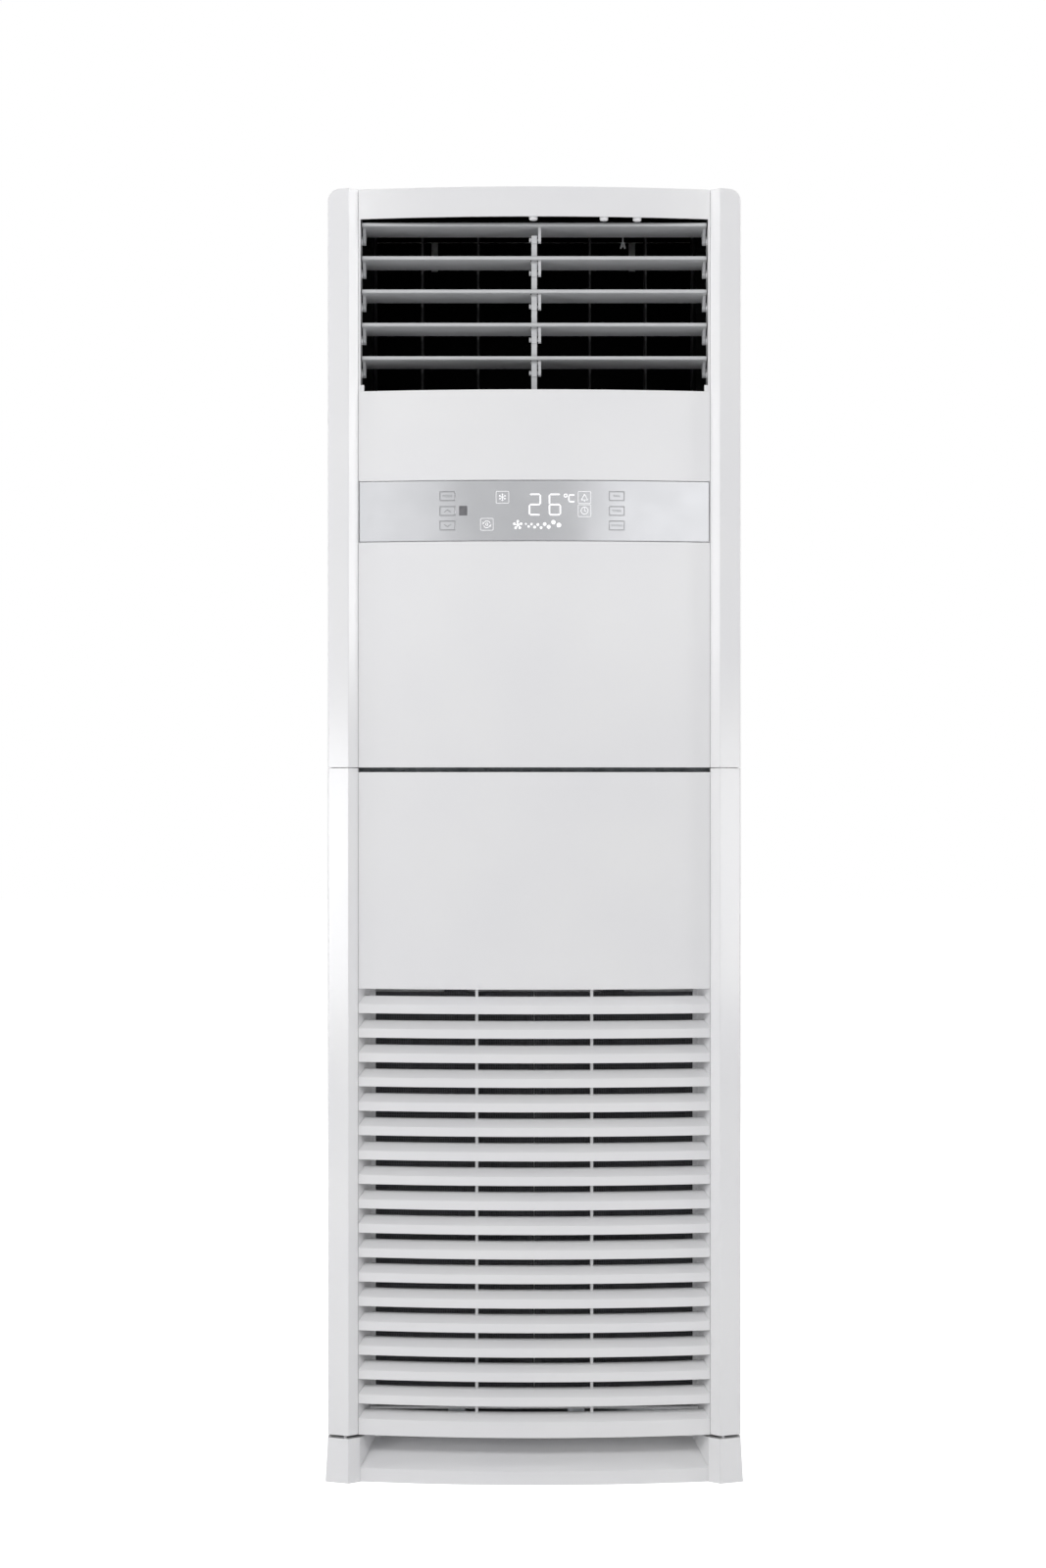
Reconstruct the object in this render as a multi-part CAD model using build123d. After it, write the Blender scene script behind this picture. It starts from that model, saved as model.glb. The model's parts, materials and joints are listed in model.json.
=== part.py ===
from build123d import *
from math import atan2, cos, radians, sin, sqrt, tan
import os

# Floor standing air conditioner, indoor cabinet. Millimetres, X to the right as one faces it,
# Y to the back, Z up. The origin is on the floor, under the middle of the cabinet.

# ---------------------------------------------------------------- cabinet
CABINET_W = 575.0        # over the side panels
CABINET_D = 400.0        # from the middle of the bowed front to the screw heads behind
CABINET_H = 1800.0
PILLAR_W = 42.5          # front corner pillar
BOW = 22.0               # the middle of the front stands this far ahead of its edges
RIDGE_H = 12.0           # the pillar's ridge stands this far ahead of its two edges
FACET_W = 13.0           # inner facet of the pillar
MOULDING_D = 45.0        # depth of the plastic front behind the edge of the bow
CORNER_R = 16.0          # top corners, seen from the front
SHELL = 3.0              # moulded front panels
PILLAR_WALL = 2.5
SHEET = 1.2              # sheet steel
DECK_SHEET = 1.5
FIT = 0.3                # between pieces that sit beside each other
SEAM = 0.8               # between the mouldings and the steel behind them
SCREW_HEAD_H = 2.0
SCREW_R = 2.0
SCREW_HEAD_R = 4.0

FRONT_Y = -CABINET_D / 2
REAR_Y = CABINET_D / 2 - SCREW_HEAD_H
CASE_X = CABINET_W / 2
INSIDE_X = CASE_X - SHEET
PANEL_X = CASE_X - PILLAR_W
BOW_R = (PANEL_X**2 + BOW**2) / (2 * BOW)
EDGE_Y = FRONT_Y + BOW
RIDGE_Y = EDGE_Y - RIDGE_H
RIDGE_X = PANEL_X + FACET_W
MOULDING_Y = EDGE_Y + MOULDING_D
STEEL_Y = MOULDING_Y + SEAM
RETURN_X = PANEL_X - SHELL          # inner face of the front panels' side walls

# ---------------------------------------------------------------- heights
PLINTH_H = 61.5
DOOR_GAP = 4.5           # under the door
SLAT_PITCH = 34.0
SLAT_COUNT = 18
LAST_SLAT_EXTRA = 9.4    # the lowest slat is this much taller
SLAT_BOTTOM = 65.4
FINGER_GAP_Z = 988.5
FINGER_GAP_H = 6.5
DISPLAY_H = 85.2
DISPLAY_DROP = 168.0     # middle of the display, under the outlet
OUTLET_H = 240.0
OUTLET_MARGIN = 41.0     # from the outlet to the top

DOOR_Z = PLINTH_H + DOOR_GAP
GRILLE_TOP = SLAT_BOTTOM + SLAT_COUNT * SLAT_PITCH + LAST_SLAT_EXTRA
UPPER_Z = FINGER_GAP_Z + FINGER_GAP_H
OUTLET_TOP = CABINET_H - OUTLET_MARGIN
OUTLET_Z = OUTLET_TOP - OUTLET_H
DISPLAY_Z = OUTLET_Z - DISPLAY_DROP

# ---------------------------------------------------------------- door and grille
SLAT_FACE_H = 12.5       # upright face of a slat
LAST_SLAT_FACE_H = SLAT_FACE_H + LAST_SLAT_EXTRA
SLAT_RUN = 15.5          # how far back the slat's top rises
SLAT_SLOPE = 35.0        # degrees, rising to the back
SLAT_WALL = 2.5
SLAT_TIP = SLAT_WALL / sin(radians(SLAT_SLOPE))     # depth of the flat upper edge
SLAT_DEPTH = SLAT_RUN + SLAT_TIP
RIB_X = 80.0             # upright ribs behind the slats
RIB_T = 4.0
SPLAY_DEPTH = 39.0       # side walls of the grille
SPLAY_W = 16.0
HINGE_R = 3.0
HINGE_CLEARANCE = 0.08
HINGE_Y = EDGE_Y
HINGE_RISE = 7.0         # over the door's lower edge
HINGE_Z = DOOR_Z + HINGE_RISE
HINGE_BOSS_R = 6.5
HINGE_EAR_SIDE = 16.0    # beyond the front panels' edge
HINGE_EAR_X = PANEL_X + HINGE_EAR_SIDE
HINGE_EAR_TOP = 2.0      # over the pin
HINGE_EAR_T = 4.0
HINGE_WEB_T = 4.0
HINGE_WEB_GAP = 1.0
LID_T = 8.0              # top of the lower pillars
DOOR_TOP_DROP = 2.2      # the lower pillars' tops fall away to the back, to clear the upper ones
CATCH_IN = 45.0          # from the front panels' edge
CATCH_X = PANEL_X - CATCH_IN
CATCH_W = 20.0
CATCH_H = 16.0
CATCH_RISE = 4.0
CATCH_REACH = 13.5
DOOR_STEP = 14.0         # the door panel is this much shallower than the mouldings

FILTER_GAP = 1.2         # between the two filters
FILTER_SIDE = 4.0        # between a filter and the grille's side wall
FILTER_W = PANEL_X - SPLAY_W - SHELL - FILTER_SIDE - FILTER_GAP / 2
FILTER_T = 6.0
FILTER_Z = 101.0
FILTER_TOP_GAP = 6.8     # under the grille's top
FILTER_H = GRILLE_TOP - FILTER_TOP_GAP - FILTER_Z
FILTER_SETBACK = 32.0
FILTER_Y = EDGE_Y + FILTER_SETBACK
FILTER_TAB_W = 30.0
FILTER_TAB_H = 6.0
FILTER_FIT = 0.4
FILTER_BORDER = 10.0
FILTER_BAR = 2.4
FILTER_COLUMNS = 4
FILTER_ROWS = 10
MESH_T = 0.8
RAIL_LIP = 6.0
RAIL_WALL = 2.5
RAIL_FOOT = 6.0          # the rails start this far under the filters
RAIL_LAP = 6.0
BRIDGE_H = 10.0          # cross bars behind the filters that carry the middle rail
LEDGE_T = 3.0
LEDGE_LAP = 2.0          # how far the ledge runs into the slats at the panel's edges
RIB_LAP = 6.0            # how far the ribs run into the slats

# ---------------------------------------------------------------- plinth and base
FOOT_FLARE = 3.5         # each foot block widens by this much down to the floor
FOOT_FLARE_FRONT = 2.0
TOE_SIDE = 2.0
TOE_X = PANEL_X - TOE_SIDE
TOE_LIP_H = 19.0
TOE_SLOPE = 35.0
TOE_SPLAY_W = 21.0
PLINTH_WALL = 3.0
PLINTH_LAP = 1.0
PLINTH_BACK_Y = STEEL_Y + PLINTH_LAP
SKIRT_T = 3.2
PAN_Z = 40.0
PAN_FLANGE_H = 40.0
RAIL_SIDE = 72.5
RAIL_IN_X = CASE_X - RAIL_SIDE
RAIL_W = 44.0
RAIL_T = 2.0
RAIL_SETBACK = 4.0
PAD_H = 4.0
PAD_R = 19.0
PAD_HOLE_R = 7.0
ANCHOR_SIDE = 49.5
ANCHOR_X = CASE_X - ANCHOR_SIDE
ANCHOR_FRONT = 42.2      # behind the steel's front edge
ANCHOR_BACK = 38.0       # ahead of the rear
ANCHOR_FRONT_Y = STEEL_Y + ANCHOR_FRONT
ANCHOR_BACK_Y = REAR_Y - ANCHOR_BACK
ANCHOR_R = 6.0
ACCESS_R = 16.0

# ---------------------------------------------------------------- outlet, louvres, vanes
GUSSET_W = 5.0           # small gussets in the outlet's lower corners
GUSSET_D = 10.0
GUSSET_H = 9.0
LOUVRE_COUNT = 5
LOUVRE_MARGIN = 5.7
LOUVRE_TOP = OUTLET_TOP - LOUVRE_MARGIN     # front edge of the highest blade
LOUVRE_PITCH = 46.6
LOUVRE_SETBACK = 6.0
LOUVRE_Y = EDGE_Y + LOUVRE_SETBACK          # front edge
LOUVRE_CHORD = 64.0
LOUVRE_TILT = 5.0        # front edge up
NOSE_R = 2.75
TAIL_R = 1.2
EAR_T = 4.0
EAR_GAP = 0.5
BOSS_H = 1.2
PIVOT_BACK = 33.0        # behind the front edge
PIVOT_DROP = 17.5
PIVOT_R = 3.0
PIVOT_CLEARANCE = 0.08
PIVOT_EAR_R = 6.5
PIVOT_END_GAP = 0.3
EAR_FRONT = 20.0         # an ear's root, ahead of the pivot
EAR_BACK = 16.0          # and behind it
LINK_BACK = 13.0
LINK_DROP = 20.0
LINK_PIN_R = 2.2
LINK_W = 7.8
LINK_D = 6.0
LINK_COLLAR_D = 9.0
LINK_COLLAR_H = 11.0
LINK_ABOVE = 5.5         # over the highest pin
LINK_BELOW = 38.0        # under the lowest pin
LUG_T = 4.0
LUG_GAP = 1.6
LUG_R = 5.0
LUG_FRONT = 7.0          # a lug's root, ahead of the link pin
LUG_BACK = 9.0
PIN_HEAD_R = 3.4
PIN_HEAD_T = 2.4
PIN_HEAD_GAP = 0.7
SLOT_W = 10.4
SLOT_START = 4.5         # behind the blade's front edge
SLOT_END = 30.0
SLOT_REACH = 12.0        # over and under the blade

DUCT_SIDE = 19.0
DUCT_X = PANEL_X - DUCT_SIDE
DUCT_WALL = 4.0
DUCT_BELOW = 3.0         # under the outlet's lower edge
DUCT_ABOVE = 11.0
DUCT_Z = OUTLET_Z - DUCT_BELOW
DUCT_TOP = OUTLET_TOP + DUCT_ABOVE
DUCT_SETBACK = 80.0
DUCT_FRONT_Y = EDGE_Y + DUCT_SETBACK
DUCT_D = 68.0
DUCT_CORNER_R = 34.0
DUCT_FLANGE_BACK = 58.0
DUCT_FLANGE_T = 3.0
DUCT_FLANGE_H = 36.0     # under the duct
DUCT_FLANGE_Z = DUCT_Z - DUCT_FLANGE_H
BAFFLE_Y = DUCT_FRONT_Y + DUCT_FLANGE_BACK
DUCT_FLANGE_TOP = CABINET_H - CORNER_R

VANE_COUNT = 5
VANE_SIDE = 67.0         # from the duct's wall to the first vane
VANE_PITCH = 2 * (DUCT_X - VANE_SIDE) / (VANE_COUNT - 1)
VANE_CHORD = 60.0
VANE_SETBACK = 3.0
VANE_FRONT_Y = DUCT_FRONT_Y + VANE_SETBACK
VANE_T = 2.6
VANE_END_GAP = 4.0
VANE_PIN_BACK = 30.0     # pivot, behind the vane's front edge
VANE_PIN_R = 3.0
VANE_PIN_IN = 3.0        # how far a pin enters the duct's wall
VANE_LINK_BACK = 24.0    # behind the pivot
VANE_LINK_W = 8.0
VANE_LINK_T = 4.0
VANE_LINK_END = 8.0
VANE_NOTCH_D = 15.0
VANE_NOTCH_H = 10.0
VANE_PIN_GRIP = 12.0     # length of a pin on its vane
VANE_BOSS_DOWN = 3.0
VANE_BOSS_UP = 8.0
SWING_MOTOR_R = 14.0
SWING_MOTOR_H = 19.0
SWING_SHAFT_IN = 8.0

# ---------------------------------------------------------------- display
LENS_T = 2.7
LENS_GAP = 1.2           # dark line round the lens
LENS_SIDE = 1.8
LENS_X = PANEL_X - LENS_SIDE
POCKET_WALL = 2.5
KEY_W = 21.2
KEY_H = 12.6
KEY_GAP = 0.3
KEY_LEFT_X = -120.5
KEY_RIGHT_X = 114.3
KEY_ROWS = (20.4, -0.2, -20.4)   # over the middle of the display
KEY_T = 1.6
KEY_STEM_W = 15.0
KEY_STEM_H = 7.0
KEY_SWITCH = 6.0
KEY_SWITCH_T = 3.0
KEY_SWITCH_GAP = 1.2
BOARD_SETBACK = 17.0
BOARD_Y = FRONT_Y + BOARD_SETBACK
BOARD_T = 1.6
BOARD_X = 140.0
BOARD_SCREW_IN = 8.0
BOARD_H = 70.0
WINDOW_X0 = -60.0
WINDOW_X1 = 64.0
WINDOW_H = 64.0
MODULE_INSET = 2.0
MODULE_T = 9.0
STANDOFF_R = 3.0

# ---------------------------------------------------------------- fan
FAN_X = -15.0
FAN_Z = 300.0
WHEEL_R = 165.0
BLADE_DEPTH = 27.0
BLADE_IN_R = WHEEL_R - BLADE_DEPTH
BLADE_COUNT = 40
BLADE_T = 1.4
BLADE_LEAN = 7.0         # degrees from the inner to the outer edge
SCROLL_SETBACK = 93.0
SCROLL_Y0 = EDGE_Y + SCROLL_SETBACK
WHEEL_SETBACK = 15.0
WHEEL_Y0 = SCROLL_Y0 + WHEEL_SETBACK
WHEEL_W = 122.0
WHEEL_PLATE_T = 2.0
WHEEL_RING_T = 5.0
HUB_R = 24.0
HUB_L = 25.0
SHAFT_R = 6.0
SHAFT_CLEARANCE = 0.05
SHAFT_FRONT = 14.0       # ahead of the hub
NUT_R = 11.0
NUT_T = 10.0
SCROLL_W = 145.0
SCROLL_WALL = 2.5
SCROLL_CLEARANCE = 15.0  # round the wheel, at the tongue
SCROLL_SIDE = 28.3       # from the throat to the side panel
SCROLL_R0 = WHEEL_R + SCROLL_CLEARANCE
SCROLL_R1 = INSIDE_X + FAN_X - SCROLL_SIDE
SCROLL_FEET = (-95.0, 75.0)
SCROLL_FOOT_W = 24.0
TONGUE_ANGLE = 50.0
INLET_GAP = 13.0         # from the inlet's bore to the blades
INLET_R = BLADE_IN_R - INLET_GAP
INLET_HOLE_R = BLADE_IN_R - 1.0
INLET_FLANGE_W = 21.0
INLET_FLANGE_R = INLET_HOLE_R + INLET_FLANGE_W
INLET_T = 3.0
INLET_IN = 23.0
MOTOR_R = 62.0
MOTOR_L = 70.0
MOTOR_HOLE_R = 22.0
MOTOR_WALL = 6.0
COLLAR_R = MOTOR_R + 6.0
COLLAR_BACK = 30.0       # behind the motor's front
COLLAR_T = 4.0
BRACKET_R = 92.0
BRACKET_T = 3.0
FINGER_W = 18.0
FINGER_L = 38.0

# ---------------------------------------------------------------- deck, coil, pipes, controls
DECK_RISE = 3.2          # over the grille's top
DECK_Z = GRILLE_TOP + DECK_RISE
DECK_SETBACK = 14.2
DECK_FRONT_Y = STEEL_Y + DECK_SETBACK
DECK_LIP_H = 14.0
BAFFLE_LAP = 10.0
BAFFLE_TOP = DUCT_FLANGE_Z + BAFFLE_LAP
COIL_SIDE = 51.3
COIL_X = INSIDE_X - COIL_SIDE
COIL_T = 55.0
COIL_FOOT_BACK = 50.0    # middle of the coil's foot, ahead of the rear
COIL_FOOT_RISE = 85.0
COIL_HEAD_BACK = 42.0    # middle of its head, behind the baffle
COIL_HEAD_DROP = 50.0
COIL_FOOT = (REAR_Y - COIL_FOOT_BACK, DECK_Z + COIL_FOOT_RISE)
COIL_HEAD = (BAFFLE_Y + COIL_HEAD_BACK, BAFFLE_TOP - COIL_HEAD_DROP)
COIL_PLATE_T = 1.5
FIN_T = 1.0
FIN_COUNT = 32           # real fins are 0.1 thick and 1.6 apart
COIL_TAB_H = 25.0
COIL_TAB_LAP = 4.0
TUBE_R = 4.8
TUBE_ROWS = 14
TUBE_REACH = 16.0
DRAIN_PAN_SIDE = 5.0
DRAIN_PAN_X = COIL_X + DRAIN_PAN_SIDE
DRAIN_PAN_GAP = 4.0
DRAIN_PAN_D = 102.0
DRAIN_PAN_Y1 = REAR_Y - DRAIN_PAN_GAP
DRAIN_PAN_Y0 = DRAIN_PAN_Y1 - DRAIN_PAN_D
DRAIN_PAN_H = 48.0
DRAIN_WALL = 2.0
DRAIN_R = 8.0
DRAIN_END_Z = 135.0
GAS_R = 7.9
LIQUID_R = 4.76
PIPE_BEND_R = 20.0
PIPE_CLEARANCE = 6.0
GAS_THREAD_R = 13.5
GAS_THREAD_L = 20.0
GAS_HEX_R = 17.5
GAS_HEX_L = 12.0
GAS_BORE_R = 7.0
LIQUID_THREAD_R = 7.94
LIQUID_THREAD_L = 14.0
LIQUID_HEX_R = 11.0
LIQUID_HEX_L = 8.0
LIQUID_BORE_R = 4.0
UNION_SETBACK = 1.0
UNION_END_Y = REAR_Y - UNION_SETBACK
UNION_Z = 150.0
GAS_LEAVE_Z = 1050.0     # heights where the pipes leave the coil's end plate
LIQUID_LEAVE_Z = 900.0
LIQUID_FORWARD = 16.6    # ahead of the coil's middle there
GAS_OUT = 32.0           # out from the end plate
GAS_BEND_BACK = 15.0     # the run bends back by this much at mid height
GAS_UNION_BACK = 60.0
LIQUID_OUT = 34.0
LIQUID_BEND_BACK = 6.0
LIQUID_UNION_BACK = 31.0
GAS_UNION_OUT = 2.0
LIQUID_UNION_IN = 36.0
CUTOUT_SIDE = 29.5
CUTOUT_W = 108.0
CUTOUT_X1 = CASE_X - CUTOUT_SIDE
CUTOUT_X0 = CUTOUT_X1 - CUTOUT_W
CUTOUT_Z0 = 90.0
CUTOUT_Z1 = 190.0
DRAIN_IN = 25.0
DRAIN_X = CUTOUT_X0 + DRAIN_IN
CROSS_RAIL_DROP = 23.5
CROSS_RAIL_Z = FINGER_GAP_Z - CROSS_RAIL_DROP
CROSS_RAIL_H = 35.0
CROSS_RAIL_D = 12.0
GROMMET_SIDE = 87.5
GROMMET_X = GROMMET_SIDE - CASE_X
GROMMET_Z = 140.0
GROMMET_R = 16.0
GROMMET_HOLE_R = 7.0
GROMMET_LIP = 2.0
GROMMET_LIP_T = 2.5
BRACKET_HOLE_R = 2.75
BRACKET_HOLE_X = 150.0
BRACKET_HOLE_DROP = 30.0
BRACKET_HOLE_Z = CABINET_H - BRACKET_HOLE_DROP

BOX_SIDE = 106.3
BOX_X = INSIDE_X - BOX_SIDE
BOX_RISE = 35.0          # over the deck
BOX_DROP = 15.0          # under the cross rail
BOX_Z0 = DECK_Z + BOX_RISE
BOX_Z1 = CROSS_RAIL_Z - BOX_DROP
BOX_SETBACK = 11.2
BOX_FRONT_Y = STEEL_Y + BOX_SETBACK
GRIP_W = 60.0
GRIP_REACH = 8.0
GRIP_T = 2.0
PCB_MARGIN = 20.0
PCB_RISE = 60.0          # over the box's floor
PCB_POST_L = 8.0
PCB_POST_IN = 10.0
RELAY_COUNT = 5
RELAY_W = 18.0
RELAY_H = 16.0
RELAY_PITCH = 26.0
SINK_W = 70.0
SINK_H = 40.0
SINK_T = 3.0
SINK_DEPTH = 22.0
SINK_FINS = 8
CAPACITOR_R = 14.0
CAPACITOR_L = 26.0
TERMINAL_WAYS = 5
TERMINAL_W = 14.0
TERMINAL_H = 35.0
TERMINAL_DEPTH = 24.0
TERMINAL_RISE = 40.0
TERMINAL_WALL = 2.0
TERMINAL_SCREW_R = 4.0
PCB_W = 2 * BOX_X - 3 * PCB_MARGIN - TERMINAL_WAYS * TERMINAL_W
SCREW_ROWS = 6
SCREW_FOOT = 58.5        # lowest rear screw, over the plinth
SCREW_DROP = 60.0        # highest one, under the top
FLANGE_W = 25.0          # rear flange of a side panel
FRONT_FLANGE_W = 15.0
BEND_R = 1.8
CAP_SKIRT = 24.0         # side of the top cover, down from the top
CAP_REAR_LIP = CORNER_R + 4.0    # laps the top of the rear panel
PASS = 1.0               # how far a cut runs past the face that it goes through
OVERRUN = 5.0            # how far a slanted cutting shape runs past its piece

parts = {}


# ---------------------------------------------------------------- helpers
def block(x0, x1, y0, y1, z0, z1):
    """Box between two corners."""
    middle = Pos((x0 + x1) / 2, (y0 + y1) / 2, (z0 + z1) / 2)
    return middle * Box(abs(x1 - x0), abs(y1 - y0), abs(z1 - z0))


def outline(points):
    return make_face(Polyline(*points, close=True))


def prism(points, z0, z1):
    """Upright prism on an outline of (x, y) points."""
    return Pos(0, 0, z0) * extrude(outline(points), z1 - z0, dir=(0, 0, 1))


def side_prism(points, x0, x1):
    """Prism along X on an outline of (y, z) points."""
    return Pos(x0, 0, 0) * extrude(Plane.YZ * outline(points), x1 - x0, dir=(1, 0, 0))


def front_prism(points, y0, y1):
    """Prism along Y on an outline of (x, z) points."""
    return Pos(0, y0, 0) * extrude(Plane.XZ * outline(points), y1 - y0, dir=(0, 1, 0))


def rod_x(y, z, radius, x0, x1):
    return Pos((x0 + x1) / 2, y, z) * Rot(0, 90, 0) * Cylinder(radius, abs(x1 - x0))


def rod_y(x, z, radius, y0, y1):
    return Pos(x, (y0 + y1) / 2, z) * Rot(90, 0, 0) * Cylinder(radius, abs(y1 - y0))


def rod_z(x, y, radius, z0, z1):
    return Pos(x, y, (z0 + z1) / 2) * Cylinder(radius, abs(z1 - z0))


def fused(pieces):
    """All pieces in one solid."""
    first, *others = pieces
    return first.fuse(*others) if others else first


def group(pieces):
    """Separate solids that share one node."""
    return Compound(children=[solid for piece in pieces for solid in piece.solids()])


def mirrored(piece):
    return mirror(piece, about=Plane.YZ)


def bow_y(x, behind=0.0):
    """Y of the bowed front at x, or of the surface that lies `behind` it."""
    radius = BOW_R - behind
    return FRONT_Y + BOW_R - sqrt(radius**2 - x**2)


def bow_strip(half, behind0, behind1):
    """Plan of the strip between two bowed surfaces."""
    front = ThreePointArc((-half, bow_y(half, behind0)), (0, bow_y(0, behind0)),
                          (half, bow_y(half, behind0)))
    back = ThreePointArc((half, bow_y(half, behind1)), (0, bow_y(0, behind1)),
                         (-half, bow_y(half, behind1)))
    sides = [Line(front @ 1, back @ 0), Line(back @ 1, front @ 0)]
    return make_face([front, back] + sides)


def bow_slab(half, behind0, behind1, z0, z1):
    """Slab between two bowed surfaces."""
    return Pos(0, 0, z0) * extrude(bow_strip(half, behind0, behind1), z1 - z0, dir=(0, 0, 1))


def rising_sheet(half, wall, z, run, slope):
    """Bowed sheet that starts on the front at z and rises to the back at `slope` degrees."""
    strip = bow_strip(half, 0, wall / sin(radians(slope)))
    way = (0, cos(radians(slope)), sin(radians(slope)))
    return Pos(0, 0, z) * extrude(strip, run / cos(radians(slope)), dir=way)


def bowed_tray(z0, z1, depth_y, open_top=False, open_bottom=False):
    """Moulded front panel: a bowed face with walls that run back to depth_y."""
    face = bow_slab(PANEL_X, 0, SHELL, z0, z1)
    walls = [face]
    for side in (-1, 1):
        walls.append(block(side * RETURN_X, side * PANEL_X, EDGE_Y + SHELL / 2, depth_y, z0, z1))
    body = block(-PANEL_X, PANEL_X, FRONT_Y, depth_y, z0, z1)
    behind_face = body - bow_slab(PANEL_X + 1, -BOW, SHELL / 2, z0 - 1, z1 + 1)
    if not open_top:
        walls.append(behind_face & block(-PANEL_X, PANEL_X, FRONT_Y, depth_y, z1 - SHELL, z1))
    if not open_bottom:
        walls.append(behind_face & block(-PANEL_X, PANEL_X, FRONT_Y, depth_y, z0, z0 + SHELL))
    return fused(walls)


def bent_sheet(points, radius, thickness=SHEET):
    """Flat outline of a bent sheet whose middle line goes through the points."""
    return trace(FilletPolyline(*points, radius=radius), thickness)


def pipe(points, radius, bend, bore=0.0):
    """Tube along straight runs with rounded corners."""
    path = FilletPolyline(*points, radius=bend)
    start = Plane(path @ 0, z_dir=path % 0)
    section = Circle(radius) - Circle(bore) if bore else Circle(radius)
    return sweep(start * section, path=path)


# ---------------------------------------------------------------- front pillars
def pillar_plan(inner_x, back_y):
    return [(inner_x, back_y), (inner_x, EDGE_Y), (RIDGE_X, RIDGE_Y), (CASE_X, EDGE_Y), (CASE_X, back_y)]


def pillar(z0, z1, closed_top):
    """Right corner pillar: a hollow moulding, open to the back, with room for a rounded top corner."""
    inner_x = PANEL_X + FIT
    plan = outline(pillar_plan(inner_x, MOULDING_Y))
    front = plan.vertices().sort_by(Axis.Y)
    plan = fillet(front[0], 1.5)
    outer_edge = [v for v in plan.vertices() if abs(v.X - CASE_X) < 0.01 and v.Y < EDGE_Y + 1]
    plan = fillet(outer_edge, 3.0)
    shell = Pos(0, 0, z0) * extrude(plan, z1 - z0, dir=(0, 0, 1))
    hollow_plan = offset(outline(pillar_plan(inner_x, MOULDING_Y + 2 * PILLAR_WALL)), -PILLAR_WALL,
                         kind=Kind.INTERSECTION)
    top = z1 - CORNER_R if closed_top else z1 + 1
    return shell - Pos(0, 0, z0 - 1) * extrude(hollow_plan, top - z0 + 1, dir=(0, 0, 1))


def rounded_front(z0, y0, y1):
    """The cabinet's front view above z0, with its two rounded top corners."""
    view = Plane.XZ * outline([(-CASE_X, z0), (-CASE_X, CABINET_H), (CASE_X, CABINET_H), (CASE_X, z0)])
    view = fillet(view.vertices().group_by(Axis.Z)[-1], CORNER_R)
    return Pos(0, y0, 0) * extrude(view, y1 - y0, dir=(0, 1, 0))


def upper_pillar():
    return pillar(UPPER_Z, CABINET_H, True) & rounded_front(UPPER_Z - 1, FRONT_Y, MOULDING_Y + 1)


def door_pillar():
    """Lower pillar, with the web that turns on the plinth's hinge pin."""
    top = UPPER_Z - FIT * 2
    shell = pillar(DOOR_Z, top, False)
    lid_x0 = PANEL_X + FIT + PILLAR_WALL
    lid = block(lid_x0 - PASS, CASE_X - PILLAR_WALL + PASS, EDGE_Y - PASS, MOULDING_Y, top - LID_T, top)
    web_x = HINGE_EAR_X + HINGE_EAR_T + HINGE_WEB_GAP
    web = block(web_x, web_x + HINGE_WEB_T, RIDGE_Y + 3, HINGE_Y + 3 * HINGE_BOSS_R,
                HINGE_Z - HINGE_BOSS_R, HINGE_Z + 3 * HINGE_BOSS_R)
    body = fused([shell, lid, web & pillar_core()])
    body -= rod_x(HINGE_Y, HINGE_Z, HINGE_R + HINGE_CLEARANCE, web_x - 1, web_x + HINGE_WEB_T + 1)
    y0, y1 = RIDGE_Y - PASS, MOULDING_Y + PASS
    slope = [(y0, top), (y1, top - DOOR_TOP_DROP), (y1, top + OVERRUN), (y0, top + OVERRUN)]
    return body - side_prism(slope, 0, CASE_X + OVERRUN)


def pillar_core():
    """Everything inside the pillar's outer skin."""
    return prism(pillar_plan(PANEL_X + FIT + 1, MOULDING_Y), 0, CABINET_H)


# ---------------------------------------------------------------- upper front
def louvre_z(index):
    """Front edge of a blade."""
    return LOUVRE_TOP - index * LOUVRE_PITCH


def blade_z(index, y):
    """Middle of a blade's thickness at a depth."""
    return louvre_z(index) - (y - LOUVRE_Y) * tan(radians(LOUVRE_TILT))


def pivot_y():
    return LOUVRE_Y + PIVOT_BACK


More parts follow.
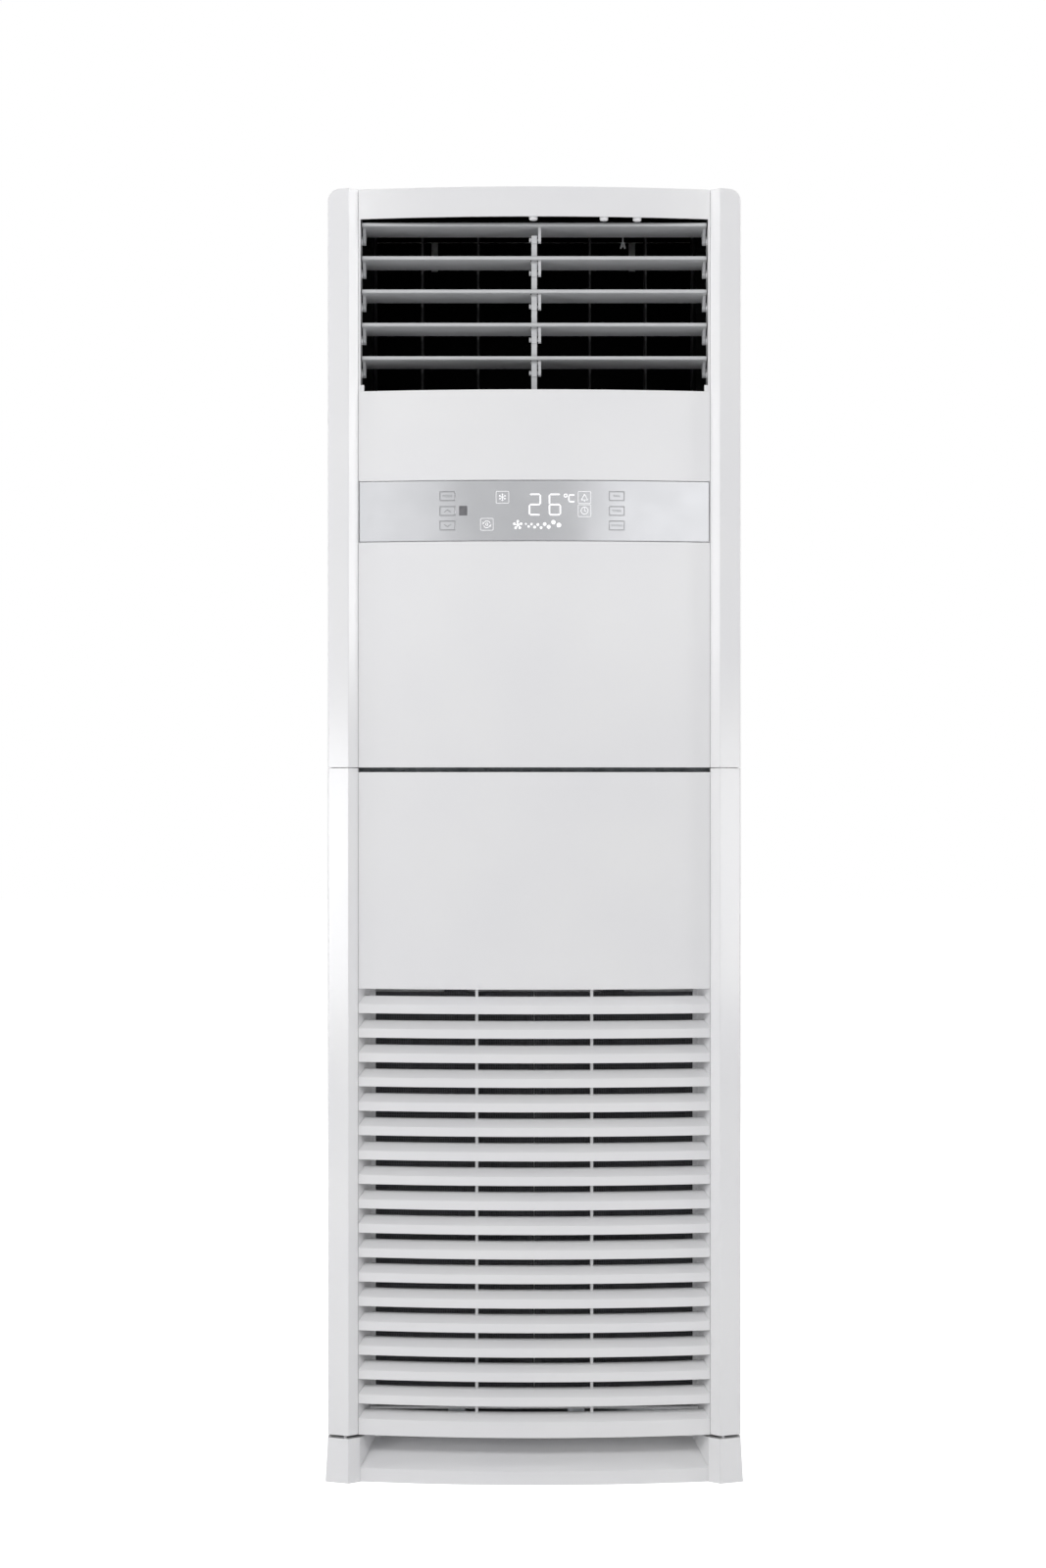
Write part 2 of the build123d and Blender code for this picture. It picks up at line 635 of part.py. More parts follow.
def upper_front_panel():
    body = bowed_tray(UPPER_Z, CABINET_H, MOULDING_Y)
    body -= block(-RETURN_X, RETURN_X, FRONT_Y - 1, EDGE_Y + SHELL, OUTLET_Z, OUTLET_TOP)
    corner = block(RETURN_X - GUSSET_W, RETURN_X + FIT, EDGE_Y, EDGE_Y + GUSSET_D, OUTLET_Z - PASS,
                   OUTLET_Z + GUSSET_H)
    additions = [corner, mirrored(corner)]
    for index in range(LOUVRE_COUNT):
        z = louvre_z(index) - PIVOT_DROP
        boss = rod_x(pivot_y(), z, PIVOT_EAR_R, RETURN_X - BOSS_H, RETURN_X + SHELL / 2)
        additions += [boss, mirrored(boss)]
    pocket_h = DISPLAY_H / 2
    half_lens = LENS_X + LENS_GAP
    backing = bow_slab(PANEL_X - SHELL / 2, SHELL, SHELL + POCKET_WALL,
                       DISPLAY_Z - pocket_h - SHELL, DISPLAY_Z + pocket_h + SHELL)
    for side in (-1, 1):
        additions.append(rod_y(side * (BOARD_X - BOARD_SCREW_IN), DISPLAY_Z, STANDOFF_R,
                               bow_y(BOARD_X, SHELL + POCKET_WALL / 2), BOARD_Y))
    body = fused([body, backing] + additions)
    body -= bow_slab(half_lens, -1, SHELL, DISPLAY_Z - pocket_h, DISPLAY_Z + pocket_h)
    cuts = [block(WINDOW_X0, WINDOW_X1, FRONT_Y, BOARD_Y,
                  DISPLAY_Z - WINDOW_H / 2, DISPLAY_Z + WINDOW_H / 2)]
    half_w, half_h = KEY_STEM_W / 2 + KEY_GAP, KEY_STEM_H / 2 + KEY_GAP
    for x, z in key_places():
        cuts.append(block(x - half_w, x + half_w, FRONT_Y, BOARD_Y, z - half_h, z + half_h))
    for index in range(LOUVRE_COUNT):
        z = louvre_z(index) - PIVOT_DROP
        for side in (-1, 1):
            cuts.append(rod_x(pivot_y(), z, PIVOT_R + PIVOT_CLEARANCE, side * (RETURN_X - BOSS_H - 1),
                              side * (PANEL_X + 1)))
    return body.cut(*cuts)


# ---------------------------------------------------------------- display
def key_places():
    return [(x, DISPLAY_Z + rise) for x in (KEY_LEFT_X, KEY_RIGHT_X) for rise in KEY_ROWS]


def display_lens():
    lens_half_h = DISPLAY_H / 2 - LENS_GAP
    lens = bow_slab(LENS_X, 0, LENS_T, DISPLAY_Z - lens_half_h, DISPLAY_Z + lens_half_h)
    half_w, half_h = KEY_W / 2 + KEY_GAP, KEY_H / 2 + KEY_GAP
    holes = [block(x - half_w, x + half_w, FRONT_Y - PASS, EDGE_Y, z - half_h, z + half_h)
             for x, z in key_places()]
    return lens.cut(*holes)


def key_cap(x, z):
    cap = bow_slab(LENS_X, 0, KEY_T, z - KEY_H / 2, z + KEY_H / 2)
    cap &= block(x - KEY_W / 2, x + KEY_W / 2, FRONT_Y - 1, EDGE_Y, z - KEY_H, z + KEY_H)
    stem_end = BOARD_Y - KEY_SWITCH_T - KEY_SWITCH_GAP
    stem = block(x - KEY_STEM_W / 2, x + KEY_STEM_W / 2, bow_y(abs(x), KEY_T / 2), stem_end,
                 z - KEY_STEM_H / 2, z + KEY_STEM_H / 2)
    return fused([cap, stem])


def display_board():
    half_h = BOARD_H / 2
    board = block(-BOARD_X, BOARD_X, BOARD_Y, BOARD_Y + BOARD_T, DISPLAY_Z - half_h, DISPLAY_Z + half_h)
    pieces = [board]
    half = KEY_SWITCH / 2
    for x, z in key_places():
        pieces.append(block(x - half, x + half, BOARD_Y - KEY_SWITCH_T, BOARD_Y + BOARD_T / 2,
                            z - half, z + half))
    lamp_h = WINDOW_H / 2 - MODULE_INSET
    pieces.append(block(WINDOW_X0 + MODULE_INSET, WINDOW_X1 - MODULE_INSET, BOARD_Y - MODULE_T,
                        BOARD_Y + BOARD_T / 2, DISPLAY_Z - lamp_h, DISPLAY_Z + lamp_h))
    return fused(pieces)


# ---------------------------------------------------------------- louvres
def louvre(index):
    """One blade with its end ears, pivot pins and the lug that carries its link pin."""
    z = louvre_z(index)
    nose_y = LOUVRE_Y + NOSE_R
    tail_y = LOUVRE_Y + LOUVRE_CHORD - TAIL_R
    nose = ThreePointArc((nose_y, -NOSE_R), (LOUVRE_Y, 0), (nose_y, NOSE_R))
    tail = ThreePointArc((tail_y, TAIL_R), (tail_y + TAIL_R, 0), (tail_y, -TAIL_R))
    section = Plane.YZ * make_face([nose, Line(nose @ 1, tail @ 0), tail, Line(tail @ 1, nose @ 0)])
    end_x = RETURN_X - BOSS_H - EAR_GAP
    blade = Pos(-end_x, 0, 0) * extrude(section, 2 * end_x, dir=(1, 0, 0))
    hinge_line = Axis((0, LOUVRE_Y, 0), (1, 0, 0))
    blade = Pos(0, 0, z) * blade.rotate(hinge_line, -LOUVRE_TILT)
    pin_y, pin_z = pivot_y(), z - PIVOT_DROP
    root_y0, root_y1 = pin_y - EAR_FRONT, pin_y + EAR_BACK
    ear = fused([
        side_prism([(root_y0, blade_z(index, root_y0)), (pin_y - PIVOT_EAR_R, pin_z),
                    (pin_y + PIVOT_EAR_R, pin_z), (root_y1, blade_z(index, root_y1))], end_x - EAR_T, end_x),
        rod_x(pin_y, pin_z, PIVOT_EAR_R, end_x - EAR_T, end_x),
        rod_x(pin_y, pin_z, PIVOT_R, end_x - 1, PANEL_X - PIVOT_END_GAP)])
    link_y, link_z = LOUVRE_Y + LINK_BACK, z - LINK_DROP
    lug_x = LINK_W / 2 + LUG_GAP
    lug_y0, lug_y1 = link_y - LUG_FRONT, link_y + LUG_BACK
    lug = fused([
        side_prism([(lug_y0, blade_z(index, lug_y0)), (link_y - LUG_R, link_z), (link_y + LUG_R, link_z),
                    (lug_y1, blade_z(index, lug_y1))], lug_x, lug_x + LUG_T),
        rod_x(link_y, link_z, LUG_R, lug_x, lug_x + LUG_T)])
    head_x = -LINK_W / 2 - PIN_HEAD_GAP
    pin = rod_x(link_y, link_z, LINK_PIN_R, head_x - 1, lug_x + 1)
    head = rod_x(link_y, link_z, PIN_HEAD_R, head_x - PIN_HEAD_T, head_x)
    if index > 0:
        blade -= block(-SLOT_W / 2, SLOT_W / 2, LOUVRE_Y + SLOT_START, LOUVRE_Y + SLOT_END,
                       z - SLOT_REACH, z + SLOT_REACH)
    return fused([blade, ear, mirrored(ear), lug, pin, head])


def louvre_link():
    link_y = LOUVRE_Y + LINK_BACK
    pins = [louvre_z(index) - LINK_DROP for index in range(LOUVRE_COUNT)]
    bar = block(-LINK_W / 2, LINK_W / 2, link_y - LINK_D / 2, link_y + LINK_D / 2,
                pins[-1] - LINK_BELOW, pins[0] + LINK_ABOVE)
    collars = [block(-LINK_W / 2, LINK_W / 2, link_y - LINK_COLLAR_D / 2, link_y + LINK_COLLAR_D / 2,
                     z - LINK_COLLAR_H / 2, z + LINK_COLLAR_H / 2) for z in pins]
    holes = [rod_x(link_y, z, LINK_PIN_R + PIVOT_CLEARANCE, -LINK_W, LINK_W) for z in pins]
    return fused([bar] + collars).cut(*holes)


# ---------------------------------------------------------------- outlet duct and vanes
def vane_x(index):
    return (index - (VANE_COUNT - 1) / 2) * VANE_PITCH


def outlet_duct():
    """Nozzle behind the louvres, with its flange and the vane pin holes."""
    back_y = DUCT_FRONT_Y + DUCT_D
    z0, z1 = DUCT_Z - DUCT_WALL, DUCT_TOP + DUCT_WALL
    tube = block(-DUCT_X - DUCT_WALL, DUCT_X + DUCT_WALL, DUCT_FRONT_Y, back_y, z0, z1)
    edges = tube.edges().filter_by(Axis.X).group_by(Axis.Y)[0]
    tube = fillet(edges.group_by(Axis.Z)[-1], DUCT_CORNER_R)
    flange = block(-INSIDE_X, INSIDE_X, BAFFLE_Y, BAFFLE_Y + DUCT_FLANGE_T, DUCT_FLANGE_Z,
                   DUCT_FLANGE_TOP)
    body = fused([tube, flange])
    body -= block(-DUCT_X, DUCT_X, DUCT_FRONT_Y - 1, back_y + 1, DUCT_Z, DUCT_TOP)
    pin_y = VANE_FRONT_Y + VANE_PIN_BACK
    holes = []
    for index in range(VANE_COUNT):
        holes.append(rod_z(vane_x(index), pin_y, VANE_PIN_R + PIVOT_CLEARANCE, z0 - 1, DUCT_Z + 1))
        holes.append(rod_z(vane_x(index), pin_y, VANE_PIN_R + PIVOT_CLEARANCE, DUCT_TOP - 1,
                           DUCT_TOP + VANE_PIN_IN + FIT))
    return body.cut(*holes)


def driven_vane():
    return VANE_COUNT // 2


def vane(index):
    """Upright blade on two pins; the middle one reaches into the swing motor."""
    x = vane_x(index)
    z0, z1 = DUCT_Z + VANE_END_GAP, DUCT_TOP - VANE_END_GAP
    back_y = VANE_FRONT_Y + VANE_CHORD
    pin_y = VANE_FRONT_Y + VANE_PIN_BACK
    link_y = pin_y + VANE_LINK_BACK
    blade = block(x - VANE_T / 2, x + VANE_T / 2, VANE_FRONT_Y, back_y, z0, z1)
    blade -= block(x - VANE_T, x + VANE_T, back_y - VANE_NOTCH_D, back_y + 1, z0 - 1, z0 + VANE_NOTCH_H)
    low = DUCT_Z - DUCT_WALL - SWING_SHAFT_IN if index == driven_vane() else DUCT_Z - VANE_PIN_IN
    pins = [rod_z(x, pin_y, VANE_PIN_R, low, z0 + VANE_PIN_GRIP),
            rod_z(x, pin_y, VANE_PIN_R, z1 - VANE_PIN_GRIP, DUCT_TOP + VANE_PIN_IN)]
    boss = rod_z(x, link_y, VANE_LINK_W / 2, z0 + VANE_NOTCH_H - VANE_BOSS_DOWN,
                 z0 + VANE_NOTCH_H + VANE_BOSS_UP)
    link_pin = rod_z(x, link_y, LINK_PIN_R, z0, z0 + VANE_NOTCH_H)
    return fused([blade, boss, link_pin] + pins)


def vane_link():
    link_y = VANE_FRONT_Y + VANE_PIN_BACK + VANE_LINK_BACK
    end = vane_x(VANE_COUNT - 1) + VANE_LINK_END
    z0 = DUCT_Z + VANE_END_GAP + 1
    bar = block(-end, end, link_y - VANE_LINK_W / 2, link_y + VANE_LINK_W / 2, z0, z0 + VANE_LINK_T)
    holes = [rod_z(vane_x(index), link_y, LINK_PIN_R + PIVOT_CLEARANCE, z0 - 1, z0 + VANE_LINK_T + 1)
             for index in range(VANE_COUNT)]
    return bar.cut(*holes)


def swing_motor():
    pin_y = VANE_FRONT_Y + VANE_PIN_BACK
    top = DUCT_Z - DUCT_WALL
    can = rod_z(vane_x(driven_vane()), pin_y, SWING_MOTOR_R, top - SWING_MOTOR_H, top)
    tabs = block(vane_x(driven_vane()) - 2 * SWING_MOTOR_R, vane_x(driven_vane()) + 2 * SWING_MOTOR_R,
                 pin_y - 4, pin_y + 4, top - 1, top)
    bore_r = VANE_PIN_R + PIVOT_CLEARANCE
    return fused([can, tabs]) - rod_z(vane_x(driven_vane()), pin_y, bore_r, top - SWING_SHAFT_IN - 1, top + 1)


# ---------------------------------------------------------------- door
def door_panel():
    return bowed_tray(GRILLE_TOP, FINGER_GAP_Z, MOULDING_Y - DOOR_STEP)


def slat(bottom, face_h):
    """Intake slat: a low upright face on the bow and a top that rises to the back."""
    face = bow_slab(PANEL_X, 0, SLAT_WALL, bottom, bottom + face_h)
    top = rising_sheet(PANEL_X, SLAT_WALL, bottom + face_h, SLAT_RUN, SLAT_SLOPE)
    return face + top


def intake_grille():
    z0, z1 = SLAT_BOTTOM, GRILLE_TOP - FIT
    back_y = FILTER_Y - FILTER_FIT
    first = slat(GRILLE_TOP - SLAT_PITCH, SLAT_FACE_H)
    slats = [Pos(0, 0, -index * SLAT_PITCH) * first for index in range(SLAT_COUNT - 1)]
    slats.append(slat(SLAT_BOTTOM, LAST_SLAT_FACE_H))
    splay = prism([(PANEL_X, EDGE_Y), (PANEL_X, back_y), (PANEL_X - SPLAY_W - SHELL, back_y),
                   (PANEL_X - SPLAY_W, back_y - PASS)], z0, z1)
    rib = block(RIB_X - RIB_T / 2, RIB_X + RIB_T / 2, bow_y(RIB_X, SLAT_DEPTH - RIB_LAP), back_y, z0, z1)
    rail_y0 = FILTER_Y + FILTER_T + FILTER_FIT
    rail_y1 = rail_y0 + RAIL_WALL
    outer = FILTER_GAP / 2 + FILTER_W
    foot = FILTER_Z - FIT
    rail_z0 = foot - RAIL_FOOT
    channel = fused([
        block(outer + FILTER_FIT, PANEL_X - SPLAY_W - SHELL + RAIL_LAP, back_y - PASS, rail_y1, rail_z0, z1),
        block(outer - RAIL_LIP, outer + FILTER_FIT + PASS, rail_y0, rail_y1, rail_z0, z1)])
    middle_rail = block(-RAIL_LIP, RAIL_LIP, rail_y0, rail_y1, rail_z0, z1)
    bridges = [block(-outer, outer, rail_y0, rail_y1, z, z + BRIDGE_H)
               for z in ((foot + z1) / 2, z1 - BRIDGE_H)]
    ledge = block(-PANEL_X + SPLAY_W, PANEL_X - SPLAY_W, bow_y(PANEL_X, SLAT_DEPTH - LEDGE_LAP),
                  rail_y1, foot - LEDGE_T, foot)
    edges = [splay, mirrored(splay), rib, mirrored(rib), middle_rail, channel, mirrored(channel), ledge]
    return fused(slats + edges + bridges)


def air_filter(x0):
    """Washable filter: a frame with bars and a thin mesh sheet."""
    z0, z1 = FILTER_Z, FILTER_Z + FILTER_H
    x1 = x0 + FILTER_W
    frame = block(x0, x1, FILTER_Y, FILTER_Y + FILTER_T, z0, z1)
    frame -= block(x0 + FILTER_BORDER, x1 - FILTER_BORDER, FILTER_Y - 1, FILTER_Y + FILTER_T + 1,
                   z0 + FILTER_BORDER, z1 - FILTER_BORDER)
    middle = FILTER_Y + FILTER_T / 2
    mesh = block(x0 + 2, x1 - 2, middle - MESH_T / 2, middle + MESH_T / 2, z0 + 2, z1 - 2)
    bars = []
    for column in range(1, FILTER_COLUMNS):
        x = x0 + column * FILTER_W / FILTER_COLUMNS
        bars.append(block(x - FILTER_BAR / 2, x + FILTER_BAR / 2, middle - FILTER_BAR, middle + FILTER_BAR,
                          z0 + 2, z1 - 2))
    for row in range(1, FILTER_ROWS):
        z = z0 + row * FILTER_H / FILTER_ROWS
        bars.append(block(x0 + 2, x1 - 2, middle - FILTER_BAR, middle + FILTER_BAR,
                          z - FILTER_BAR / 2, z + FILTER_BAR / 2))
    middle_x = (x0 + x1) / 2
    tab = block(middle_x - FILTER_TAB_W / 2, middle_x + FILTER_TAB_W / 2, FILTER_Y, FILTER_Y + 2, z1 - 2,
                z1 + FILTER_TAB_H)
    return fused([frame, mesh, tab] + bars)


# ---------------------------------------------------------------- plinth and base
def foot_block():
    """Right foot: the pillar's plan, flared down to the floor, hollow from below."""
    back_y = PLINTH_BACK_Y

    def plan(flare, flare_front, inner_x):
        return [(inner_x - TOE_SPLAY_W, back_y), (inner_x, EDGE_Y - flare_front),
                (RIDGE_X, RIDGE_Y - flare_front), (CASE_X + flare, EDGE_Y - flare_front / 2),
                (CASE_X + flare, back_y)]

    top = Pos(0, 0, PLINTH_H) * outline(plan(0, 0, TOE_X))
    bottom = outline(plan(FOOT_FLARE, FOOT_FLARE_FRONT, TOE_X))
    outer = loft([bottom, top], ruled=True)
    hollow = block(RIDGE_X - 5, CASE_X - PLINTH_WALL, EDGE_Y + PLINTH_WALL, back_y - PLINTH_WALL, -1,
                   PLINTH_H - PLINTH_WALL)
    return outer - hollow


def plinth():
    back_y = PLINTH_BACK_Y
    lip = bow_slab(TOE_X, 0, PLINTH_WALL, 0, TOE_LIP_H)
    ramp = rising_sheet(TOE_X, PLINTH_WALL, TOE_LIP_H, back_y - FRONT_Y, TOE_SLOPE)
    ramp &= block(-TOE_X, TOE_X, FRONT_Y, back_y, 0, PLINTH_H)
    wall_z = TOE_LIP_H + (back_y - EDGE_Y) * tan(radians(TOE_SLOPE)) - 2 * PLINTH_WALL
    half = CASE_X - SKIRT_T
    back = block(-half, half, back_y - PLINTH_WALL, back_y, wall_z, PLINTH_H)
    foot = foot_block()
    skirt = front_prism([(CASE_X - SKIRT_T, 0), (CASE_X + FOOT_FLARE, 0), (CASE_X, PLINTH_H),
                         (CASE_X - SKIRT_T, PLINTH_H)], back_y - PLINTH_WALL, REAR_Y)
    ear_x1 = HINGE_EAR_X + HINGE_EAR_T
    ear = block(HINGE_EAR_X, ear_x1, HINGE_Y - HINGE_R, HINGE_Y + 2 * HINGE_R, PLINTH_H - 1,
                HINGE_Z + HINGE_R + HINGE_EAR_TOP)
    pin = rod_x(HINGE_Y, HINGE_Z, HINGE_R, ear_x1 - 1, ear_x1 + HINGE_WEB_GAP + HINGE_WEB_T + 1)
    right = fused([foot, skirt, ear, pin])
    return fused([lip, ramp, back, right, mirrored(right)])


def anchor_places():
    return [(x, y) for x in (-ANCHOR_X, ANCHOR_X) for y in (ANCHOR_FRONT_Y, ANCHOR_BACK_Y)]


def base_pan():
    """Steel pan with turned-up edges, on two rails that carry the floor anchors."""
    x = CASE_X - SKIRT_T
    y0, y1 = PLINTH_BACK_Y, REAR_Y - 2 * SHEET
    body = block(-x, x, y0, y1, PAN_Z, PAN_Z + PAN_FLANGE_H)
    body -= block(-x + DECK_SHEET, x - DECK_SHEET, y0 + DECK_SHEET, y1 - DECK_SHEET,
                  PAN_Z + DECK_SHEET, PAN_Z + PAN_FLANGE_H + 1)
    body -= block(-x - 1, x + 1, y0 - 1, y0 + DECK_SHEET, PLINTH_H, PAN_Z + PAN_FLANGE_H + 1)
    rail = front_prism([(RAIL_IN_X, PAD_H), (RAIL_IN_X + RAIL_W, PAD_H), (RAIL_IN_X + RAIL_W, PAD_H + RAIL_T),
                        (RAIL_IN_X + RAIL_T, PAD_H + RAIL_T), (RAIL_IN_X + RAIL_T, PAN_Z - RAIL_T),
                        (RAIL_IN_X + RAIL_W, PAN_Z - RAIL_T), (RAIL_IN_X + RAIL_W, PAN_Z),
                        (RAIL_IN_X, PAN_Z)], y0 + RAIL_SETBACK, y1 - RAIL_SETBACK)
    body = fused([body, rail, mirrored(rail)])
    cuts = []
    for px, py in anchor_places():
        cuts.append(rod_z(px, py, ANCHOR_R, PAD_H - 1, PAD_H + RAIL_T + 1))
        cuts.append(rod_z(px, py, ACCESS_R, PAN_Z - RAIL_T - 1, PAN_Z + DECK_SHEET + 1))
    return body.cut(*cuts)


def foot_pads():
    return group([rod_z(x, y, PAD_R, 0, PAD_H) - rod_z(x, y, PAD_HOLE_R, -1, PAD_H + 1)
                  for x, y in anchor_places()])


# ---------------------------------------------------------------- steel casing
def side_panel():
    """Right side: a sheet bent in at the front, the back and the bottom."""
    x = CASE_X - SHEET / 2
    y0, y1 = STEEL_Y + SHEET / 2, REAR_Y - SHEET / 2
    z0, z1 = PLINTH_H, CABINET_H - CAP_SKIRT
    plan = bent_sheet([(CASE_X - FRONT_FLANGE_W, y0), (x, y0), (x, y1), (CASE_X - FLANGE_W, y1)], BEND_R)
    wall = Pos(0, 0, z0) * extrude(plan, z1 - z0, dir=(0, 0, 1))
    foot = block(CASE_X - SKIRT_T, CASE_X - SHEET / 2, y0, y1, z0, z0 + SHEET)
    return fused([wall, foot])


def top_cover():
    x, z = CASE_X - SHEET / 2, CABINET_H - SHEET / 2
    low = CABINET_H - CAP_SKIRT
    section = bent_sheet([(-x, low), (-x, z), (x, z), (x, low)], CORNER_R - SHEET / 2)
    hood = Pos(0, STEEL_Y, 0) * extrude(Plane.XZ * section, REAR_Y - STEEL_Y, dir=(0, 1, 0))
    rear = rounded_front(low, REAR_Y - SHEET, REAR_Y)
    opening = INSIDE_X - FLANGE_W
    rear -= block(-opening, opening, REAR_Y - 3 * SHEET, REAR_Y + 1, low - 1, CABINET_H - CAP_REAR_LIP)
    return fused([hood, rear])


def rear_screw_places():
    x = CASE_X - FLANGE_W / 2 - SCREW_R
    lowest, highest = PLINTH_H + SCREW_FOOT, CABINET_H - SCREW_DROP
    step = (highest - lowest) / (SCREW_ROWS - 1)
    return [(side * x, lowest + row * step) for side in (-1, 1) for row in range(SCREW_ROWS)]


def rear_panel():
    x = INSIDE_X - BEND_R
    y0, y1 = REAR_Y - 2 * SHEET, REAR_Y - SHEET
    sheet = block(-x, x, y0, y1, PLINTH_H + SHEET, CABINET_H - CORNER_R)
    cuts = [block(CUTOUT_X0, CUTOUT_X1, y0 - 1, y1 + 1, CUTOUT_Z0, CUTOUT_Z1),
            rod_y(GROMMET_X, GROMMET_Z, GROMMET_R - GROMMET_LIP, y0 - 1, y1 + 1)]
    for side in (-1, 1):
        cuts.append(rod_y(side * BRACKET_HOLE_X, BRACKET_HOLE_Z, BRACKET_HOLE_R, y0 - 1, y1 + 1))
    for px, pz in rear_screw_places():
        cuts.append(rod_y(px, pz, SCREW_R, y0 - 1, y1 + 1))
    return sheet.cut(*cuts)


def panel_screws():
    screws = []
    for x, z in rear_screw_places():
        head = rod_y(x, z, SCREW_HEAD_R, REAR_Y, REAR_Y + SCREW_HEAD_H)
        screws.append(head + rod_y(x, z, SCREW_R, REAR_Y - 8, REAR_Y + 1))
    return group(screws)


def screw_holes(panel):
    """Clearance for the rear screws in a side panel's flange."""
    return panel.cut(*[rod_y(x, z, SCREW_R, REAR_Y - 10, REAR_Y + 1) for x, z in rear_screw_places()])


def cross_rail():
    """Channel behind the finger gap, with the two catches that hold the door's top."""
    y0 = STEEL_Y + SHEET
    z1 = CROSS_RAIL_Z + CROSS_RAIL_H
    half = INSIDE_X - BEND_R
    rail = block(-half, half, y0, y0 + CROSS_RAIL_D, CROSS_RAIL_Z, z1)
    rail -= block(-half - 1, half + 1, y0 + SHEET, y0 + CROSS_RAIL_D + 1,
                  CROSS_RAIL_Z + SHEET, z1 - SHEET)
    catch_z = CROSS_RAIL_Z + CATCH_RISE
    catches = [block(side * CATCH_X - CATCH_W / 2, side * CATCH_X + CATCH_W / 2, MOULDING_Y - CATCH_REACH,
                     y0 + SHEET / 2, catch_z, catch_z + CATCH_H) for side in (-1, 1)]
    return fused([rail] + catches)


def cable_grommet():
    y0, y1 = REAR_Y - 2 * SHEET, REAR_Y - SHEET
    ring = fused([rod_y(GROMMET_X, GROMMET_Z, GROMMET_R - GROMMET_LIP, y0 - 2, y1 + 2),
                  rod_y(GROMMET_X, GROMMET_Z, GROMMET_R, y1, y1 + GROMMET_LIP_T),
                  rod_y(GROMMET_X, GROMMET_Z, GROMMET_R, y0 - GROMMET_LIP_T, y0)])
    return ring - rod_y(GROMMET_X, GROMMET_Z, GROMMET_HOLE_R, y0 - 5, y1 + 5)


# ---------------------------------------------------------------- fan
def scroll_outline(inset):
    """Spiral round the wheel and straight throat up to the deck, moved inwards by `inset`."""
    sweep_angle = TONGUE_ANGLE + 180.0
    arcs = 3

    def point(turn):
        radius = SCROLL_R0 + (SCROLL_R1 - SCROLL_R0) * turn / sweep_angle - inset
        angle = radians(TONGUE_ANGLE - turn)
        return (FAN_X + radius * cos(angle), FAN_Z + radius * sin(angle))

    step = sweep_angle / arcs
    edges = []
    for number in range(arcs):
        start = number * step
        edges.append(ThreePointArc(point(start), point(start + step / 2), point(start + step)))
    first, last = point(0), point(sweep_angle)
    top = DECK_Z + (1 if inset else 0)
    edges.append(Polyline(last, (last[0], top), (first[0], top), first))
    return make_face(edges)


def scroll_solid(inset, y0, y1):
    return Pos(0, y0, 0) * extrude(Plane.XZ * scroll_outline(inset), y1 - y0, dir=(0, 1, 0))


def fan_scroll():
    y0, y1 = SCROLL_Y0, SCROLL_Y0 + SCROLL_W
    air = scroll_solid(SCROLL_WALL, y0 + SCROLL_WALL, y1 - SCROLL_WALL)
    feet = [block(FAN_X + x - SCROLL_FOOT_W / 2, FAN_X + x + SCROLL_FOOT_W / 2, y0, y1, PAN_Z + DECK_SHEET,
                  FAN_Z - SCROLL_R0 * 0.8) for x in SCROLL_FEET]
    body = fused([scroll_solid(0, y0, y1)] + feet)
    return body.cut(air, rod_y(FAN_X, FAN_Z, INLET_HOLE_R, y0 - 1, y0 + SCROLL_WALL + 1),
                    rod_y(FAN_X, FAN_Z, MOTOR_HOLE_R, y1 - SCROLL_WALL - 1, y1 + 1))


def inlet_ring():
    """Bell mouth: a flange on the scroll and a throat that reaches into the wheel."""
    y0 = SCROLL_Y0
    profile = [(INLET_FLANGE_R, y0 - INLET_T), (INLET_FLANGE_R, y0), (INLET_HOLE_R - 2, y0),
               (INLET_R + INLET_T, y0 + 8), (INLET_R + INLET_T, y0 + INLET_IN), (INLET_R, y0 + INLET_IN),
               (INLET_R, y0 + 7), (INLET_HOLE_R - 4, y0 - INLET_T)]
    section = Plane.XY * outline(profile)
    return Pos(FAN_X, 0, FAN_Z) * revolve(section, Axis.Y)


def fan_wheel():
    y0, y1 = WHEEL_Y0, WHEEL_Y0 + WHEEL_W
    plate = rod_y(0, 0, WHEEL_R, y1 - WHEEL_PLATE_T, y1)
    ring = rod_y(0, 0, WHEEL_R, y0, y0 + WHEEL_RING_T)
    ring -= rod_y(0, 0, BLADE_IN_R, y0 - PASS, y0 + WHEEL_RING_T + PASS)
    hub = rod_y(0, 0, HUB_R, y1 - HUB_L, y1)
    middle_r = (WHEEL_R + BLADE_IN_R) / 2

    def at(radius, angle):
        return (radius * cos(radians(angle)), radius * sin(radians(angle)))

    front = ThreePointArc(at(BLADE_IN_R + 1, 0), at(middle_r, BLADE_LEAN * 0.3), at(WHEEL_R - 1, BLADE_LEAN))
    blade = extrude(Plane.XZ * trace(front, BLADE_T), y1 - y0 - 2, dir=(0, 1, 0))
    blade = Pos(0, y0 + 1, 0) * blade
    blades = [Rot(0, number * 360.0 / BLADE_COUNT, 0) * blade for number in range(BLADE_COUNT)]
    wheel = fused([plate, ring, hub] + blades)
    return Pos(FAN_X, 0, FAN_Z) * (wheel - rod_y(0, 0, SHAFT_R + 0.02, y0, y1 + 1))


def fan_shaft():
    hub_front = WHEEL_Y0 + WHEEL_W - HUB_L
    back = motor_front() + MOTOR_L - MOTOR_WALL - 2
    return rod_y(FAN_X, FAN_Z, SHAFT_R, hub_front - SHAFT_FRONT, back)


